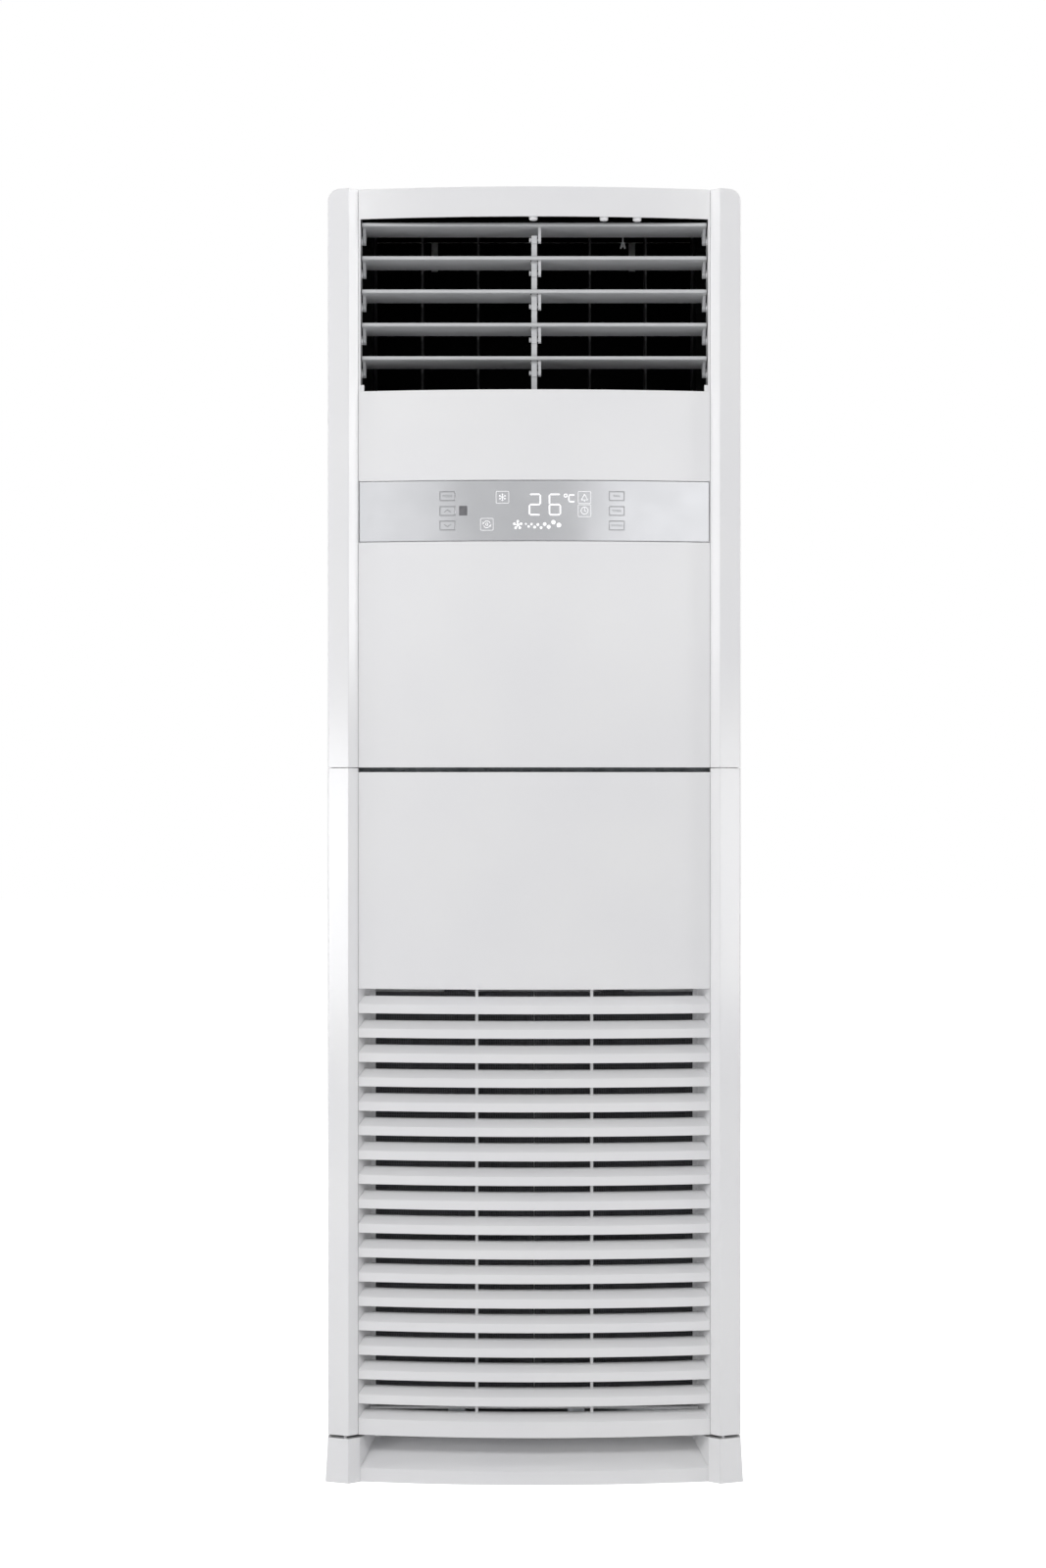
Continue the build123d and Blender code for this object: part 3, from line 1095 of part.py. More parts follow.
def wheel_nut():
    hub_front = WHEEL_Y0 + WHEEL_W - HUB_L
    hexagon = RegularPolygon(NUT_R, 6)
    nut = Pos(FAN_X, hub_front - NUT_T, FAN_Z) * extrude(Plane.XZ * hexagon, NUT_T, dir=(0, 1, 0))
    return nut - rod_y(FAN_X, FAN_Z, SHAFT_R + 0.02, hub_front - NUT_T - 1, hub_front + 1)


def motor_front():
    return SCROLL_Y0 + SCROLL_W + BRACKET_T


def fan_motor():
    y0 = motor_front()
    can = rod_y(FAN_X, FAN_Z, MOTOR_R, y0, y0 + MOTOR_L)
    collar = rod_y(FAN_X, FAN_Z, COLLAR_R, y0 + COLLAR_BACK, y0 + COLLAR_BACK + COLLAR_T)
    bore = rod_y(FAN_X, FAN_Z, SHAFT_R + SHAFT_CLEARANCE, y0 - 1, y0 + MOTOR_L - MOTOR_WALL)
    return fused([can, collar]) - bore


def motor_bracket():
    """Ring plate on the scroll's back, with three fingers round the motor."""
    y0, y1 = SCROLL_Y0 + SCROLL_W, motor_front()
    plate = rod_y(0, 0, BRACKET_R, y0, y1)
    reach = MOTOR_R + FIT
    finger = block(-FINGER_W / 2, FINGER_W / 2, y1 - 1, y1 + FINGER_L, reach, reach + BRACKET_T)
    fingers = [Rot(0, angle, 0) * finger for angle in (60, 180, 300)]
    notch = rod_y(0, 0, COLLAR_R + FIT, y1 + COLLAR_BACK - COLLAR_T, y1 + FINGER_L + 1)
    body = fused([plate] + fingers) - rod_y(0, 0, MOTOR_HOLE_R, y0 - 1, y1 + 1) - notch
    return Pos(FAN_X, 0, FAN_Z) * body


# ---------------------------------------------------------------- deck, coil, pipes
def coil_y(z):
    """Middle of the coil at a height."""
    (y0, z0), (y1, z1) = COIL_FOOT, COIL_HEAD
    return y0 + (y1 - y0) * (z - z0) / (z1 - z0)


def gas_route():
    x = COIL_X + COIL_PLATE_T
    y = coil_y(GAS_LEAVE_Z) - COIL_T / 2
    union_x = x + GAS_UNION_OUT
    return [(x, y, GAS_LEAVE_Z), (x + GAS_OUT, y, GAS_LEAVE_Z), (x + GAS_OUT, y + GAS_BEND_BACK, DECK_Z / 2),
            (union_x, y + GAS_UNION_BACK, UNION_Z),
            (union_x, UNION_END_Y - GAS_THREAD_L - GAS_HEX_L, UNION_Z)]


def liquid_route():
    x = COIL_X + COIL_PLATE_T
    y = coil_y(LIQUID_LEAVE_Z) - LIQUID_FORWARD
    union_x = x - LIQUID_UNION_IN
    return [(x, y, LIQUID_LEAVE_Z), (x + LIQUID_OUT, y, LIQUID_LEAVE_Z),
            (x + LIQUID_OUT, y + LIQUID_BEND_BACK, DECK_Z / 2), (union_x, y + LIQUID_UNION_BACK, UNION_Z),
            (union_x, UNION_END_Y - LIQUID_THREAD_L - LIQUID_HEX_L, UNION_Z)]


def along_run(start, end, z):
    """Where a straight run passes a height."""
    share = (z - start[2]) / (end[2] - start[2])
    return (start[0] + (end[0] - start[0]) * share, start[1] + (end[1] - start[1]) * share)


def mid_deck():
    y0, y1 = DECK_FRONT_Y, REAR_Y - 2 * SHEET
    sheet = block(-INSIDE_X, INSIDE_X, y0, y1, DECK_Z, DECK_Z + DECK_SHEET)
    lip = block(-INSIDE_X, INSIDE_X, y0, y0 + DECK_SHEET, DECK_Z, DECK_Z + DECK_LIP_H)
    throat = scroll_solid(SCROLL_WALL, SCROLL_Y0 + SCROLL_WALL, SCROLL_Y0 + SCROLL_W - SCROLL_WALL)
    air = block(throat.bounding_box().min.X, FAN_X + (SCROLL_R0 - SCROLL_WALL) * cos(radians(TONGUE_ANGLE)),
                SCROLL_Y0 + SCROLL_WALL, SCROLL_Y0 + SCROLL_W - SCROLL_WALL, DECK_Z - 1, DECK_Z + 5)
    holes = [air, rod_z(DRAIN_X, drain_y(), DRAIN_R + 2, DECK_Z - 1, DECK_Z + 5)]
    for route, radius in ((gas_route(), GAS_R), (liquid_route(), LIQUID_R)):
        x, y = along_run(route[1], route[2], DECK_Z)
        holes.append(rod_z(x, y, radius + PIPE_CLEARANCE, DECK_Z - 1, DECK_Z + 5))
    return fused([sheet, lip]).cut(*holes)


def front_baffle():
    """Steel wall between the electrical space in front and the coil behind."""
    return block(-INSIDE_X, INSIDE_X, BAFFLE_Y - SHEET, BAFFLE_Y, DECK_Z + DECK_SHEET, BAFFLE_TOP)


def coil_corner(end, side):
    """Corner of the coil's side view: end 0 is the foot, side -1 the front."""
    (y0, z0), (y1, z1) = COIL_FOOT, COIL_HEAD
    angle = atan2(z1 - z0, y1 - y0)
    y, z = (COIL_FOOT, COIL_HEAD)[end]
    reach = side * COIL_T / 2
    return (y + reach * sin(angle), z - reach * cos(angle))


def evaporator_fins():
    """Fins on straight tubes between two end plates; the plates stand on the drain pan's rim."""
    outline_points = [coil_corner(0, -1), coil_corner(0, 1), coil_corner(1, 1), coil_corner(1, -1)]
    step = (2 * COIL_X - FIN_T) / (FIN_COUNT - 1)
    fins = [side_prism(outline_points, number * step - COIL_X, number * step - COIL_X + FIN_T)
            for number in range(FIN_COUNT)]
    tubes = [rod_x(*tube_row(number), TUBE_R, -COIL_X, COIL_X) for number in range(TUBE_ROWS)]
    rim = DECK_Z + DECK_SHEET + DRAIN_PAN_H
    foot_front, foot_back = coil_corner(0, -1), coil_corner(0, 1)
    head_back, head_front = coil_corner(1, 1), coil_corner(1, -1)
    tab_z = head_front[1] - COIL_TAB_H
    plate_points = [(foot_front[0], rim), (foot_back[0], rim), foot_back, head_back, head_front,
                    (BAFFLE_Y, head_front[1]), (BAFFLE_Y, tab_z), (head_front[0] + COIL_TAB_LAP, tab_z),
                    foot_front]
    plate = side_prism(plate_points, COIL_X, COIL_X + COIL_PLATE_T)
    return group([fused(fins + tubes), plate, mirrored(plate)])


def tube_row(number):
    share = (number + 0.5) / TUBE_ROWS
    (y0, z0), (y1, z1) = COIL_FOOT, COIL_HEAD
    return (y0 + (y1 - y0) * share, z0 + (z1 - z0) * share)


def evaporator_tubes():
    """Hairpin bends that stand out of both end plates."""
    x = COIL_X + COIL_PLATE_T
    bends = []
    for side in (-1, 1):
        for number in range(TUBE_ROWS // 2):
            low, high = tube_row(2 * number), tube_row(2 * number + 1)
            route = [(side * x, low[0], low[1]), (side * (x + TUBE_REACH), low[0], low[1]),
                     (side * (x + TUBE_REACH), high[0], high[1]), (side * x, high[0], high[1])]
            bends.append(pipe(route, TUBE_R, TUBE_REACH - TUBE_R))
    return group(bends)


def drain_y():
    return (DRAIN_PAN_Y0 + DRAIN_PAN_Y1) / 2


def drain_pan():
    z0 = DECK_Z + DECK_SHEET
    pan = block(-DRAIN_PAN_X, DRAIN_PAN_X, DRAIN_PAN_Y0, DRAIN_PAN_Y1, z0, z0 + DRAIN_PAN_H)
    pan -= block(-DRAIN_PAN_X + DRAIN_WALL, DRAIN_PAN_X - DRAIN_WALL, DRAIN_PAN_Y0 + DRAIN_WALL,
                 DRAIN_PAN_Y1 - DRAIN_WALL, z0 + DRAIN_WALL, z0 + DRAIN_PAN_H + 1)
    route = [(DRAIN_X, drain_y(), z0 + 1), (DRAIN_X, drain_y(), DRAIN_END_Z),
             (DRAIN_X, UNION_END_Y, DRAIN_END_Z)]
    spout = pipe(route, DRAIN_R, 2 * DRAIN_R)
    bore = pipe([(DRAIN_X, drain_y(), z0 + 5), route[1], (DRAIN_X, UNION_END_Y + 5, DRAIN_END_Z)],
                DRAIN_R - DRAIN_WALL, 2 * DRAIN_R)
    return fused([pan, spout]) - bore


def gas_pipe():
    return pipe(gas_route(), GAS_R, PIPE_BEND_R)


def liquid_pipe():
    return pipe(liquid_route(), LIQUID_R, PIPE_BEND_R)


def flare_union(route, hex_r, hex_l, thread_r, thread_l, bore_r):
    """Hexagon body and threaded stub at a pipe's rear end."""
    x, y, z = route[-1]
    body = Pos(x, y, z) * extrude(Plane.XZ * RegularPolygon(hex_r, 6), hex_l, dir=(0, 1, 0))
    stub = rod_y(x, z, thread_r, y + hex_l - 1, y + hex_l + thread_l)
    return fused([body, stub]) - rod_y(x, z, bore_r, y + 3, y + hex_l + thread_l + 1)


def flare_unions():
    gas = flare_union(gas_route(), GAS_HEX_R, GAS_HEX_L, GAS_THREAD_R, GAS_THREAD_L, GAS_BORE_R)
    liquid = flare_union(liquid_route(), LIQUID_HEX_R, LIQUID_HEX_L, LIQUID_THREAD_R, LIQUID_THREAD_L,
                         LIQUID_BORE_R)
    return group([gas, liquid])


# ---------------------------------------------------------------- controls
def control_box():
    y1 = BAFFLE_Y - SHEET
    body = block(-BOX_X, BOX_X, BOX_FRONT_Y, y1, BOX_Z0, BOX_Z1)
    inner_x = BOX_X - SHEET
    return body - block(-inner_x, inner_x, BOX_FRONT_Y - PASS, y1 - SHEET, BOX_Z0 + SHEET, BOX_Z1 - SHEET)


def control_box_cover():
    sheet = block(-BOX_X, BOX_X, BOX_FRONT_Y - SHEET, BOX_FRONT_Y, BOX_Z0, BOX_Z1)
    grip_top = BOX_Z1 - SHEET - FIT
    grip = block(-GRIP_W / 2, GRIP_W / 2, BOX_FRONT_Y - SHEET, BOX_FRONT_Y + GRIP_REACH, grip_top - GRIP_T,
                 grip_top)
    return sheet + grip


def control_board():
    """Circuit board on four posts, with relays, a finned heat sink and a capacitor."""
    wall_y = BAFFLE_Y - 2 * SHEET
    y1 = wall_y - PCB_POST_L
    y0 = y1 - BOARD_T
    on_board = y0 + BOARD_T / 2
    x0, z0, z1 = PCB_MARGIN - BOX_X, BOX_Z0 + PCB_RISE, BOX_Z1 - PCB_MARGIN
    x1 = x0 + PCB_W
    board = block(x0, x1, y0, y1, z0, z1)
    posts = [rod_y(x, z, STANDOFF_R, y1 - BOARD_T / 2, wall_y) for x in (x0 + PCB_POST_IN, x1 - PCB_POST_IN)
             for z in (z0 + PCB_POST_IN, z1 - PCB_POST_IN)]
    relays = []
    for number in range(RELAY_COUNT):
        relay_x = x0 + PCB_MARGIN + number * RELAY_PITCH
        relays.append(block(relay_x, relay_x + RELAY_W, y0 - RELAY_H, on_board, z0 + PCB_POST_IN,
                            z0 + PCB_POST_IN + RELAY_H))
    sink_x, sink_z = x1 - PCB_MARGIN - SINK_W, z1 - PCB_MARGIN - SINK_H
    sink = [block(sink_x, sink_x + SINK_W, y0 - SINK_T, on_board, sink_z, sink_z + SINK_H)]
    for number in range(SINK_FINS):
        fin_x = sink_x + number * (SINK_W - SINK_T) / (SINK_FINS - 1)
        sink.append(block(fin_x, fin_x + SINK_T, y0 - SINK_DEPTH, on_board, sink_z, sink_z + SINK_H))
    capacitor = rod_y(x0 + 3 * PCB_MARGIN, z1 - 2 * PCB_MARGIN, CAPACITOR_R, y0 - CAPACITOR_L, on_board)
    return fused([board, capacitor] + posts + relays + sink)


def terminal_block():
    """Row of open cells, each with a screw at its back."""
    wall_y = BAFFLE_Y - 2 * SHEET
    front_y, cell_y = wall_y - TERMINAL_DEPTH, wall_y - TERMINAL_DEPTH / 2
    x1 = BOX_X - PCB_MARGIN
    x0 = x1 - TERMINAL_WAYS * TERMINAL_W
    z0 = BOX_Z0 + TERMINAL_RISE
    z1 = z0 + TERMINAL_H
    body = block(x0, x1, front_y, wall_y, z0, z1)
    cells = [block(x0 + way * TERMINAL_W + TERMINAL_WALL, x0 + (way + 1) * TERMINAL_W - TERMINAL_WALL,
                   front_y - PASS, cell_y, z0 + 2 * TERMINAL_WALL, z1 - 2 * TERMINAL_WALL)
             for way in range(TERMINAL_WAYS)]
    screws = [rod_y(x0 + (way + 0.5) * TERMINAL_W, (z0 + z1) / 2, TERMINAL_SCREW_R,
                    cell_y - TERMINAL_SCREW_R, cell_y + PASS) for way in range(TERMINAL_WAYS)]
    return fused([body.cut(*cells)] + screws)


# ---------------------------------------------------------------- assembly
def add(name, piece):
    piece.label = name
    parts[name] = piece


add("base_pan", base_pan())
add("foot_pads", foot_pads())
add("plinth", plinth())
add("rear_panel", rear_panel())
right_side = side_panel()
add("right_side_panel", screw_holes(right_side))
add("left_side_panel", screw_holes(mirrored(right_side)))
add("top_cover", screw_holes(top_cover()))
add("upper_front_panel", upper_front_panel())
right_pillar = upper_pillar()
add("upper_right_pillar", right_pillar)
add("upper_left_pillar", mirrored(right_pillar))
add("display_lens", display_lens())
add("display_board", display_board())
add("outlet_duct", outlet_duct())
add("swing_motor", swing_motor())
add("mid_deck", mid_deck())
add("front_baffle", front_baffle())
add("cross_rail", cross_rail())
add("evaporator_fins", evaporator_fins())
add("evaporator_tubes", evaporator_tubes())
add("drain_pan", drain_pan())
add("gas_pipe", gas_pipe())
add("liquid_pipe", liquid_pipe())
add("flare_unions", flare_unions())
add("fan_scroll", fan_scroll())
add("inlet_ring", inlet_ring())
add("motor_bracket", motor_bracket())
add("fan_motor", fan_motor())
add("control_box", control_box())
add("control_box_cover", control_box_cover())
add("control_board", control_board())
add("terminal_block", terminal_block())
add("panel_screws", panel_screws())
add("cable_grommet", cable_grommet())
add("fan_wheel", fan_wheel())
add("fan_shaft", fan_shaft())
add("wheel_nut", wheel_nut())
for louvre_number in range(LOUVRE_COUNT):
    add(f"louvre_{louvre_number + 1}", louvre(louvre_number))
add("louvre_link", louvre_link())
for vane_number in range(VANE_COUNT):
    add(f"vane_{vane_number + 1}", vane(vane_number))
add("vane_link", vane_link())
add("door_panel", door_panel())
add("intake_grille", intake_grille())
right_door_pillar = door_pillar()
add("door_right_pillar", right_door_pillar)
add("door_left_pillar", mirrored(right_door_pillar))
add("filter_right", air_filter(FILTER_GAP / 2))
add("filter_left", air_filter(-FILTER_GAP / 2 - FILTER_W))
key_names = ("mode_key", "warmer_key", "cooler_key", "fan_speed_key", "timer_key", "swing_key")
for key_name, key_place in zip(key_names, key_places()):
    add(key_name, key_cap(*key_place))

os.makedirs("parts", exist_ok=True)
for part_name, part_piece in parts.items():
    export_step(part_piece, f"parts/{part_name}.step")
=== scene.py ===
"""Floor standing air conditioner: finishes and fine pieces round the fixed frame.

Z is up and the front is at -Y. Blender works in metres; the named sizes are in millimetres, and MM turns
them to metres where they are used.
"""
import json
import math

import bpy
from mathutils import Matrix, Vector


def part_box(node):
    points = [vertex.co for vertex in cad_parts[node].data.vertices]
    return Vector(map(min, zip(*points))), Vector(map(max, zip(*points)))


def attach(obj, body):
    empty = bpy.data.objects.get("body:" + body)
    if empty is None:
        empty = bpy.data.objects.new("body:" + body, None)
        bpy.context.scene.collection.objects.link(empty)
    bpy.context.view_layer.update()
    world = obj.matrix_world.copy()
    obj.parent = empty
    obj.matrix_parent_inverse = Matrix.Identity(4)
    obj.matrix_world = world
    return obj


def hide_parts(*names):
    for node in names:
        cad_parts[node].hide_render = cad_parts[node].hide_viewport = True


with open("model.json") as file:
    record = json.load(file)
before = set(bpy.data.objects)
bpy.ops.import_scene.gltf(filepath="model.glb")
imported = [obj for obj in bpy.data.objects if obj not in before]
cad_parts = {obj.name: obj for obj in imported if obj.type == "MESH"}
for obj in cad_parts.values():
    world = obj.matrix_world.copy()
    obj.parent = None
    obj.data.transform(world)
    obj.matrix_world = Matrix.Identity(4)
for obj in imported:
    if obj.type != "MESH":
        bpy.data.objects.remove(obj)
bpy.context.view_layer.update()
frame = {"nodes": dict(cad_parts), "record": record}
scene = bpy.context.scene
nodes = frame["nodes"]
MM = 0.001


# ---------------------------------------------------------------- camera, light and backdrop
CAMERA_PLACE = (-0.0157, -4.19, 0.972)   # metres; near the height of the seam
CAMERA_LENS = 66.1
CAMERA_REACH = 60.0                      # metres; what lies farther off isn't drawn


def set_camera():
    data = bpy.data.cameras.new("camera")
    data.sensor_width = 36.0
    data.sensor_fit = "AUTO"
    data.lens = CAMERA_LENS
    data.clip_end = CAMERA_REACH
    camera = bpy.data.objects.new("camera", data)
    camera.location = CAMERA_PLACE
    camera.rotation_euler = (math.pi / 2, 0.0, 0.0)
    scene.collection.objects.link(camera)
    scene.camera = camera
    scene.view_settings.view_transform = "Standard"


def linear(hex_code):
    """An sRGB hex colour as the linear values that the shaders take."""
    channels = [int(hex_code[start:start + 2], 16) / 255.0 for start in (0, 2, 4)]
    straight = [c / 12.92 if c <= 0.04045 else ((c + 0.055) / 1.055) ** 2.4 for c in channels]
    return (*straight, 1.0)


def set_inputs(tree, node, inputs):
    """An input that is given a socket is linked, and any other value is set on it."""
    for name, value in inputs.items():
        if isinstance(value, bpy.types.NodeSocket):
            tree.links.new(value, node.inputs[name])
        else:
            node.inputs[name].default_value = value


def add_node(tree, kind, inputs=None, stops=None, **settings):
    """A node with its settings, its inputs and the colour stops of a ramp."""
    node = tree.nodes.new(kind)
    for name, value in settings.items():
        setattr(node, name, value)
    if stops:
        for element, (position, hex_code) in zip(node.color_ramp.elements, stops):
            element.position = position
            element.color = linear(hex_code)
    set_inputs(tree, node, inputs or {})
    return node


def soft_box(name, place, aim, width, height, watts):
    """Studio soft box, a rectangle of light turned to its aim; all in metres."""
    data = bpy.data.lights.new(name, "AREA")
    data.shape = "RECTANGLE"
    data.size = width
    data.size_y = height
    data.energy = watts
    box = bpy.data.objects.new(name, data)
    box.location = place
    box.rotation_euler = (Vector(aim) - Vector(place)).to_track_quat("-Z", "Y").to_euler()
    scene.collection.objects.link(box)


def set_world():
    """White behind the object, and a softer fill that lights it."""
    world = bpy.data.worlds.new("studio")
    world.use_nodes = True
    tree = world.node_tree
    tree.nodes.clear()
    fill = add_node(tree, "ShaderNodeBackground", {"Color": linear("FAFAFC"), "Strength": 0.2})
    seen = add_node(tree, "ShaderNodeBackground", {"Color": linear("FFFFFF"), "Strength": 1.0})
    path = add_node(tree, "ShaderNodeLightPath")
    both = add_node(tree, "ShaderNodeMixShader", {0: path.outputs["Is Camera Ray"], 1: fill.outputs[0],
                                                  2: seen.outputs[0]})
    add_node(tree, "ShaderNodeOutputWorld", {"Surface": both.outputs[0]})
    scene.world = world


def set_lights():
    # Two high keys light the front.
    soft_box("left_key", (-2.0, -2.95, 2.79), (0.0, -0.2, 0.8), 1.0, 0.7, 40.0)
    soft_box("right_key", (2.0, -2.95, 2.79), (0.0, -0.2, 0.8), 1.0, 0.7, 27.0)
    # Three panels straight ahead are what the display's mirror shows.
    soft_box("left_panel", (-1.62, -3.2, 1.635), (-1.62, 0.0, 1.635), 1.75, 0.73, 3.2)
    soft_box("middle_panel", (-0.14, -3.2, 1.635), (-0.14, 0.0, 1.635), 1.22, 0.73, 1.45)
    soft_box("right_panel", (1.39, -3.2, 1.635), (1.39, 0.0, 1.635), 1.83, 0.73, 4.1)
    # Two low boxes lift the slats and the foot.
    soft_box("left_low", (-2.9, -2.1, 0.75), (0.0, -0.2, 0.4), 0.9, 0.7, 15.0)
    soft_box("right_low", (2.9, -2.1, 0.75), (0.0, -0.2, 0.4), 0.9, 0.7, 8.0)
    # Narrow strips at the sides show as the bright line down each pillar's inner facet.
    soft_box("left_strip", (-3.0, -0.65, 2.15), (0.0, -0.65, 2.15), 0.36, 1.8, 9.0)
    soft_box("right_strip", (3.0, -0.65, 2.15), (0.0, -0.65, 2.15), 0.36, 1.8, 16.0)
    # Fills at the sides, and broad boxes over the cabinet and behind it.
    soft_box("left_fill", (-3.0, -0.9, 0.6), (0.0, -0.9, 0.6), 1.6, 1.3, 8.0)
    soft_box("right_fill", (3.0, -0.9, 0.6), (0.0, -0.9, 0.6), 1.6, 1.3, 5.0)
    soft_box("top_box", (0.0, 0.2, 4.0), (0.0, 0.0, 0.0), 3.0, 3.0, 16.0)
    soft_box("rear_box", (0.6, 3.4, 2.2), (0.0, 0.0, 0.9), 3.0, 2.4, 38.0)


# ---------------------------------------------------------------- materials
def start_material(name, base, roughness, **sockets):
    """A material with its tree, its shader and the piece's own coordinates."""
    material = bpy.data.materials.new(name)
    material.use_nodes = True
    tree = material.node_tree
    shader = tree.nodes["Principled BSDF"]
    set_inputs(tree, shader, {"Base Color": linear(base), "Roughness": roughness})
    set_inputs(tree, shader, {key.replace("_", " "): value for key, value in sockets.items()})
    place = add_node(tree, "ShaderNodeTexCoord").outputs["Object"]
    return material, tree, shader, place


def repeats(size_mm):
    """Noise and cell scale that makes a pattern of this size."""
    return 1.0 / (size_mm * MM)


def bands(pitch_mm):
    """Wave scale that puts one band in each pitch."""
    return 2.0 * math.pi / (20.0 * pitch_mm * MM)


def gloss_abs():
    # Injection moulded ABS from a polished tool: white, with clear reflections that ripple slightly.
    material, tree, shader, place = start_material("gloss_white_abs", "E8E8E9", 0.16, IOR=1.53)
    drift = add_node(tree, "ShaderNodeTexNoise", {"Vector": place, "Scale": repeats(160.0), "Detail": 1.0})
    colour = add_node(tree, "ShaderNodeValToRGB", {"Fac": drift.outputs["Fac"]},
                      stops=[(0.3, "E8E8EA"), (0.7, "EBEBEC")])
    edge = add_node(tree, "ShaderNodeBevel", {"Radius": 0.7 * MM}, samples=4)
    ripple = add_node(tree, "ShaderNodeTexNoise", {"Vector": place, "Scale": repeats(12.0), "Detail": 1.0})
    bump = add_node(tree, "ShaderNodeBump", {"Height": ripple.outputs["Fac"], "Distance": 0.01 * MM,
                                             "Normal": edge.outputs["Normal"]})
    set_inputs(tree, shader, {"Base Color": colour.outputs["Color"], "Normal": bump.outputs["Normal"]})
    return material


def satin_abs():
    # ABS moulded in a spark-eroded tool: pale grey with an even satin grain, about 0.3 mm wide and drawn
    # at 0.9 mm so that it shows.
    material, tree, shader, place = start_material("satin_grey_abs", "C9CACC", 0.42, IOR=1.53)
    drift = add_node(tree, "ShaderNodeTexNoise", {"Vector": place, "Scale": repeats(60.0), "Detail": 1.0})
    colour = add_node(tree, "ShaderNodeValToRGB", {"Fac": drift.outputs["Fac"]},
                      stops=[(0.3, "C6C7C9"), (0.7, "CCCDCF")])
    edge = add_node(tree, "ShaderNodeBevel", {"Radius": 0.3 * MM}, samples=4)
    grain = add_node(tree, "ShaderNodeTexNoise", {"Vector": place, "Scale": repeats(0.9), "Detail": 3.0})
    bump = add_node(tree, "ShaderNodeBump", {"Height": grain.outputs["Fac"], "Distance": 0.02 * MM,
                                             "Normal": edge.outputs["Normal"]})
    set_inputs(tree, shader, {"Base Color": colour.outputs["Color"], "Normal": bump.outputs["Normal"]})
    return material


def black_polypropylene():
    # Moulded black polypropylene of the duct and its vanes: matt, with a trace of dust.
    material, tree, shader, place = start_material("black_polypropylene", "0C0C0D", 0.62, IOR=1.49)
    dust = add_node(tree, "ShaderNodeTexNoise", {"Vector": place, "Scale": repeats(40.0), "Detail": 4.0})
    colour = add_node(tree, "ShaderNodeValToRGB", {"Fac": dust.outputs["Fac"]},
                      stops=[(0.4, "08080A"), (0.75, "151517")])
    grain = add_node(tree, "ShaderNodeTexNoise", {"Vector": place, "Scale": repeats(0.8), "Detail": 3.0})
    bump = add_node(tree, "ShaderNodeBump", {"Height": grain.outputs["Fac"], "Distance": 0.03 * MM})
    set_inputs(tree, shader, {"Base Color": colour.outputs["Color"], "Normal": bump.outputs["Normal"]})
    return material


def silvered_acrylic():
    # Acrylic sheet silvered on its back: a soft mirror under a clear, hard gloss.
    material, tree, shader, place = start_material("silvered_acrylic", "D9DADD", 0.2, Metallic=1.0,
                                                   Coat_Weight=0.5, Coat_Roughness=0.03)
    haze = add_node(tree, "ShaderNodeTexNoise", {"Vector": place, "Scale": repeats(45.0), "Detail": 2.0})
    colour = add_node(tree, "ShaderNodeValToRGB", {"Fac": haze.outputs["Fac"]},
                      stops=[(0.3, "DADBDE"), (0.7, "E0E1E4")])
    edge = add_node(tree, "ShaderNodeBevel", {"Radius": 0.4 * MM}, samples=4)
    ripple = add_node(tree, "ShaderNodeTexNoise", {"Vector": place, "Scale": repeats(8.0), "Detail": 1.0})
    bump = add_node(tree, "ShaderNodeBump", {"Height": ripple.outputs["Fac"], "Distance": 0.002 * MM,
                                             "Normal": edge.outputs["Normal"]})
    set_inputs(tree, shader, {"Base Color": colour.outputs["Color"], "Normal": bump.outputs["Normal"]})
    return material


def powder_coat():
    # Polyester powder baked on sheet steel: off-white, with the dimples of orange peel.
    material, tree, shader, place = start_material("white_powder_coat", "E3E3E1", 0.38, IOR=1.5)
    drift = add_node(tree, "ShaderNodeTexNoise", {"Vector": place, "Scale": repeats(220.0), "Detail": 1.0})
    colour = add_node(tree, "ShaderNodeValToRGB", {"Fac": drift.outputs["Fac"]},
                      stops=[(0.3, "E1E1DF"), (0.7, "E6E6E4")])
    edge = add_node(tree, "ShaderNodeBevel", {"Radius": 0.5 * MM}, samples=4)
    peel = add_node(tree, "ShaderNodeTexNoise", {"Vector": place, "Scale": repeats(1.8), "Detail": 2.0})
    bump = add_node(tree, "ShaderNodeBump", {"Height": peel.outputs["Fac"], "Distance": 0.04 * MM,
                                             "Normal": edge.outputs["Normal"]})
    set_inputs(tree, shader, {"Base Color": colour.outputs["Color"], "Normal": bump.outputs["Normal"]})
    return material


def galvanised_sheet():
    # Hot-dip galvanised steel: flat zinc crystals about 9 mm across that each shine a little differently.
    material, tree, shader, place = start_material("galvanised_sheet", "A9ADB1", 0.38, Metallic=1.0)
    spangle = add_node(tree, "ShaderNodeTexVoronoi", {"Vector": place, "Scale": repeats(9.0)})
    shade = add_node(tree, "ShaderNodeSeparateColor", {"Color": spangle.outputs["Color"]})
    colour = add_node(tree, "ShaderNodeValToRGB", {"Fac": shade.outputs["Red"]},
                      stops=[(0.0, "9CA0A5"), (1.0, "B8BCC0")])
    rough = add_node(tree, "ShaderNodeMapRange", {"Value": shade.outputs["Green"], "To Min": 0.3,
                                                  "To Max": 0.46})
    grain = add_node(tree, "ShaderNodeTexNoise", {"Vector": place, "Scale": repeats(2.0), "Detail": 3.0})
    bump = add_node(tree, "ShaderNodeBump", {"Height": grain.outputs["Fac"], "Distance": 0.01 * MM})
    set_inputs(tree, shader, {"Base Color": colour.outputs["Color"], "Roughness": rough.outputs["Result"],
                              "Normal": bump.outputs["Normal"]})
    return material


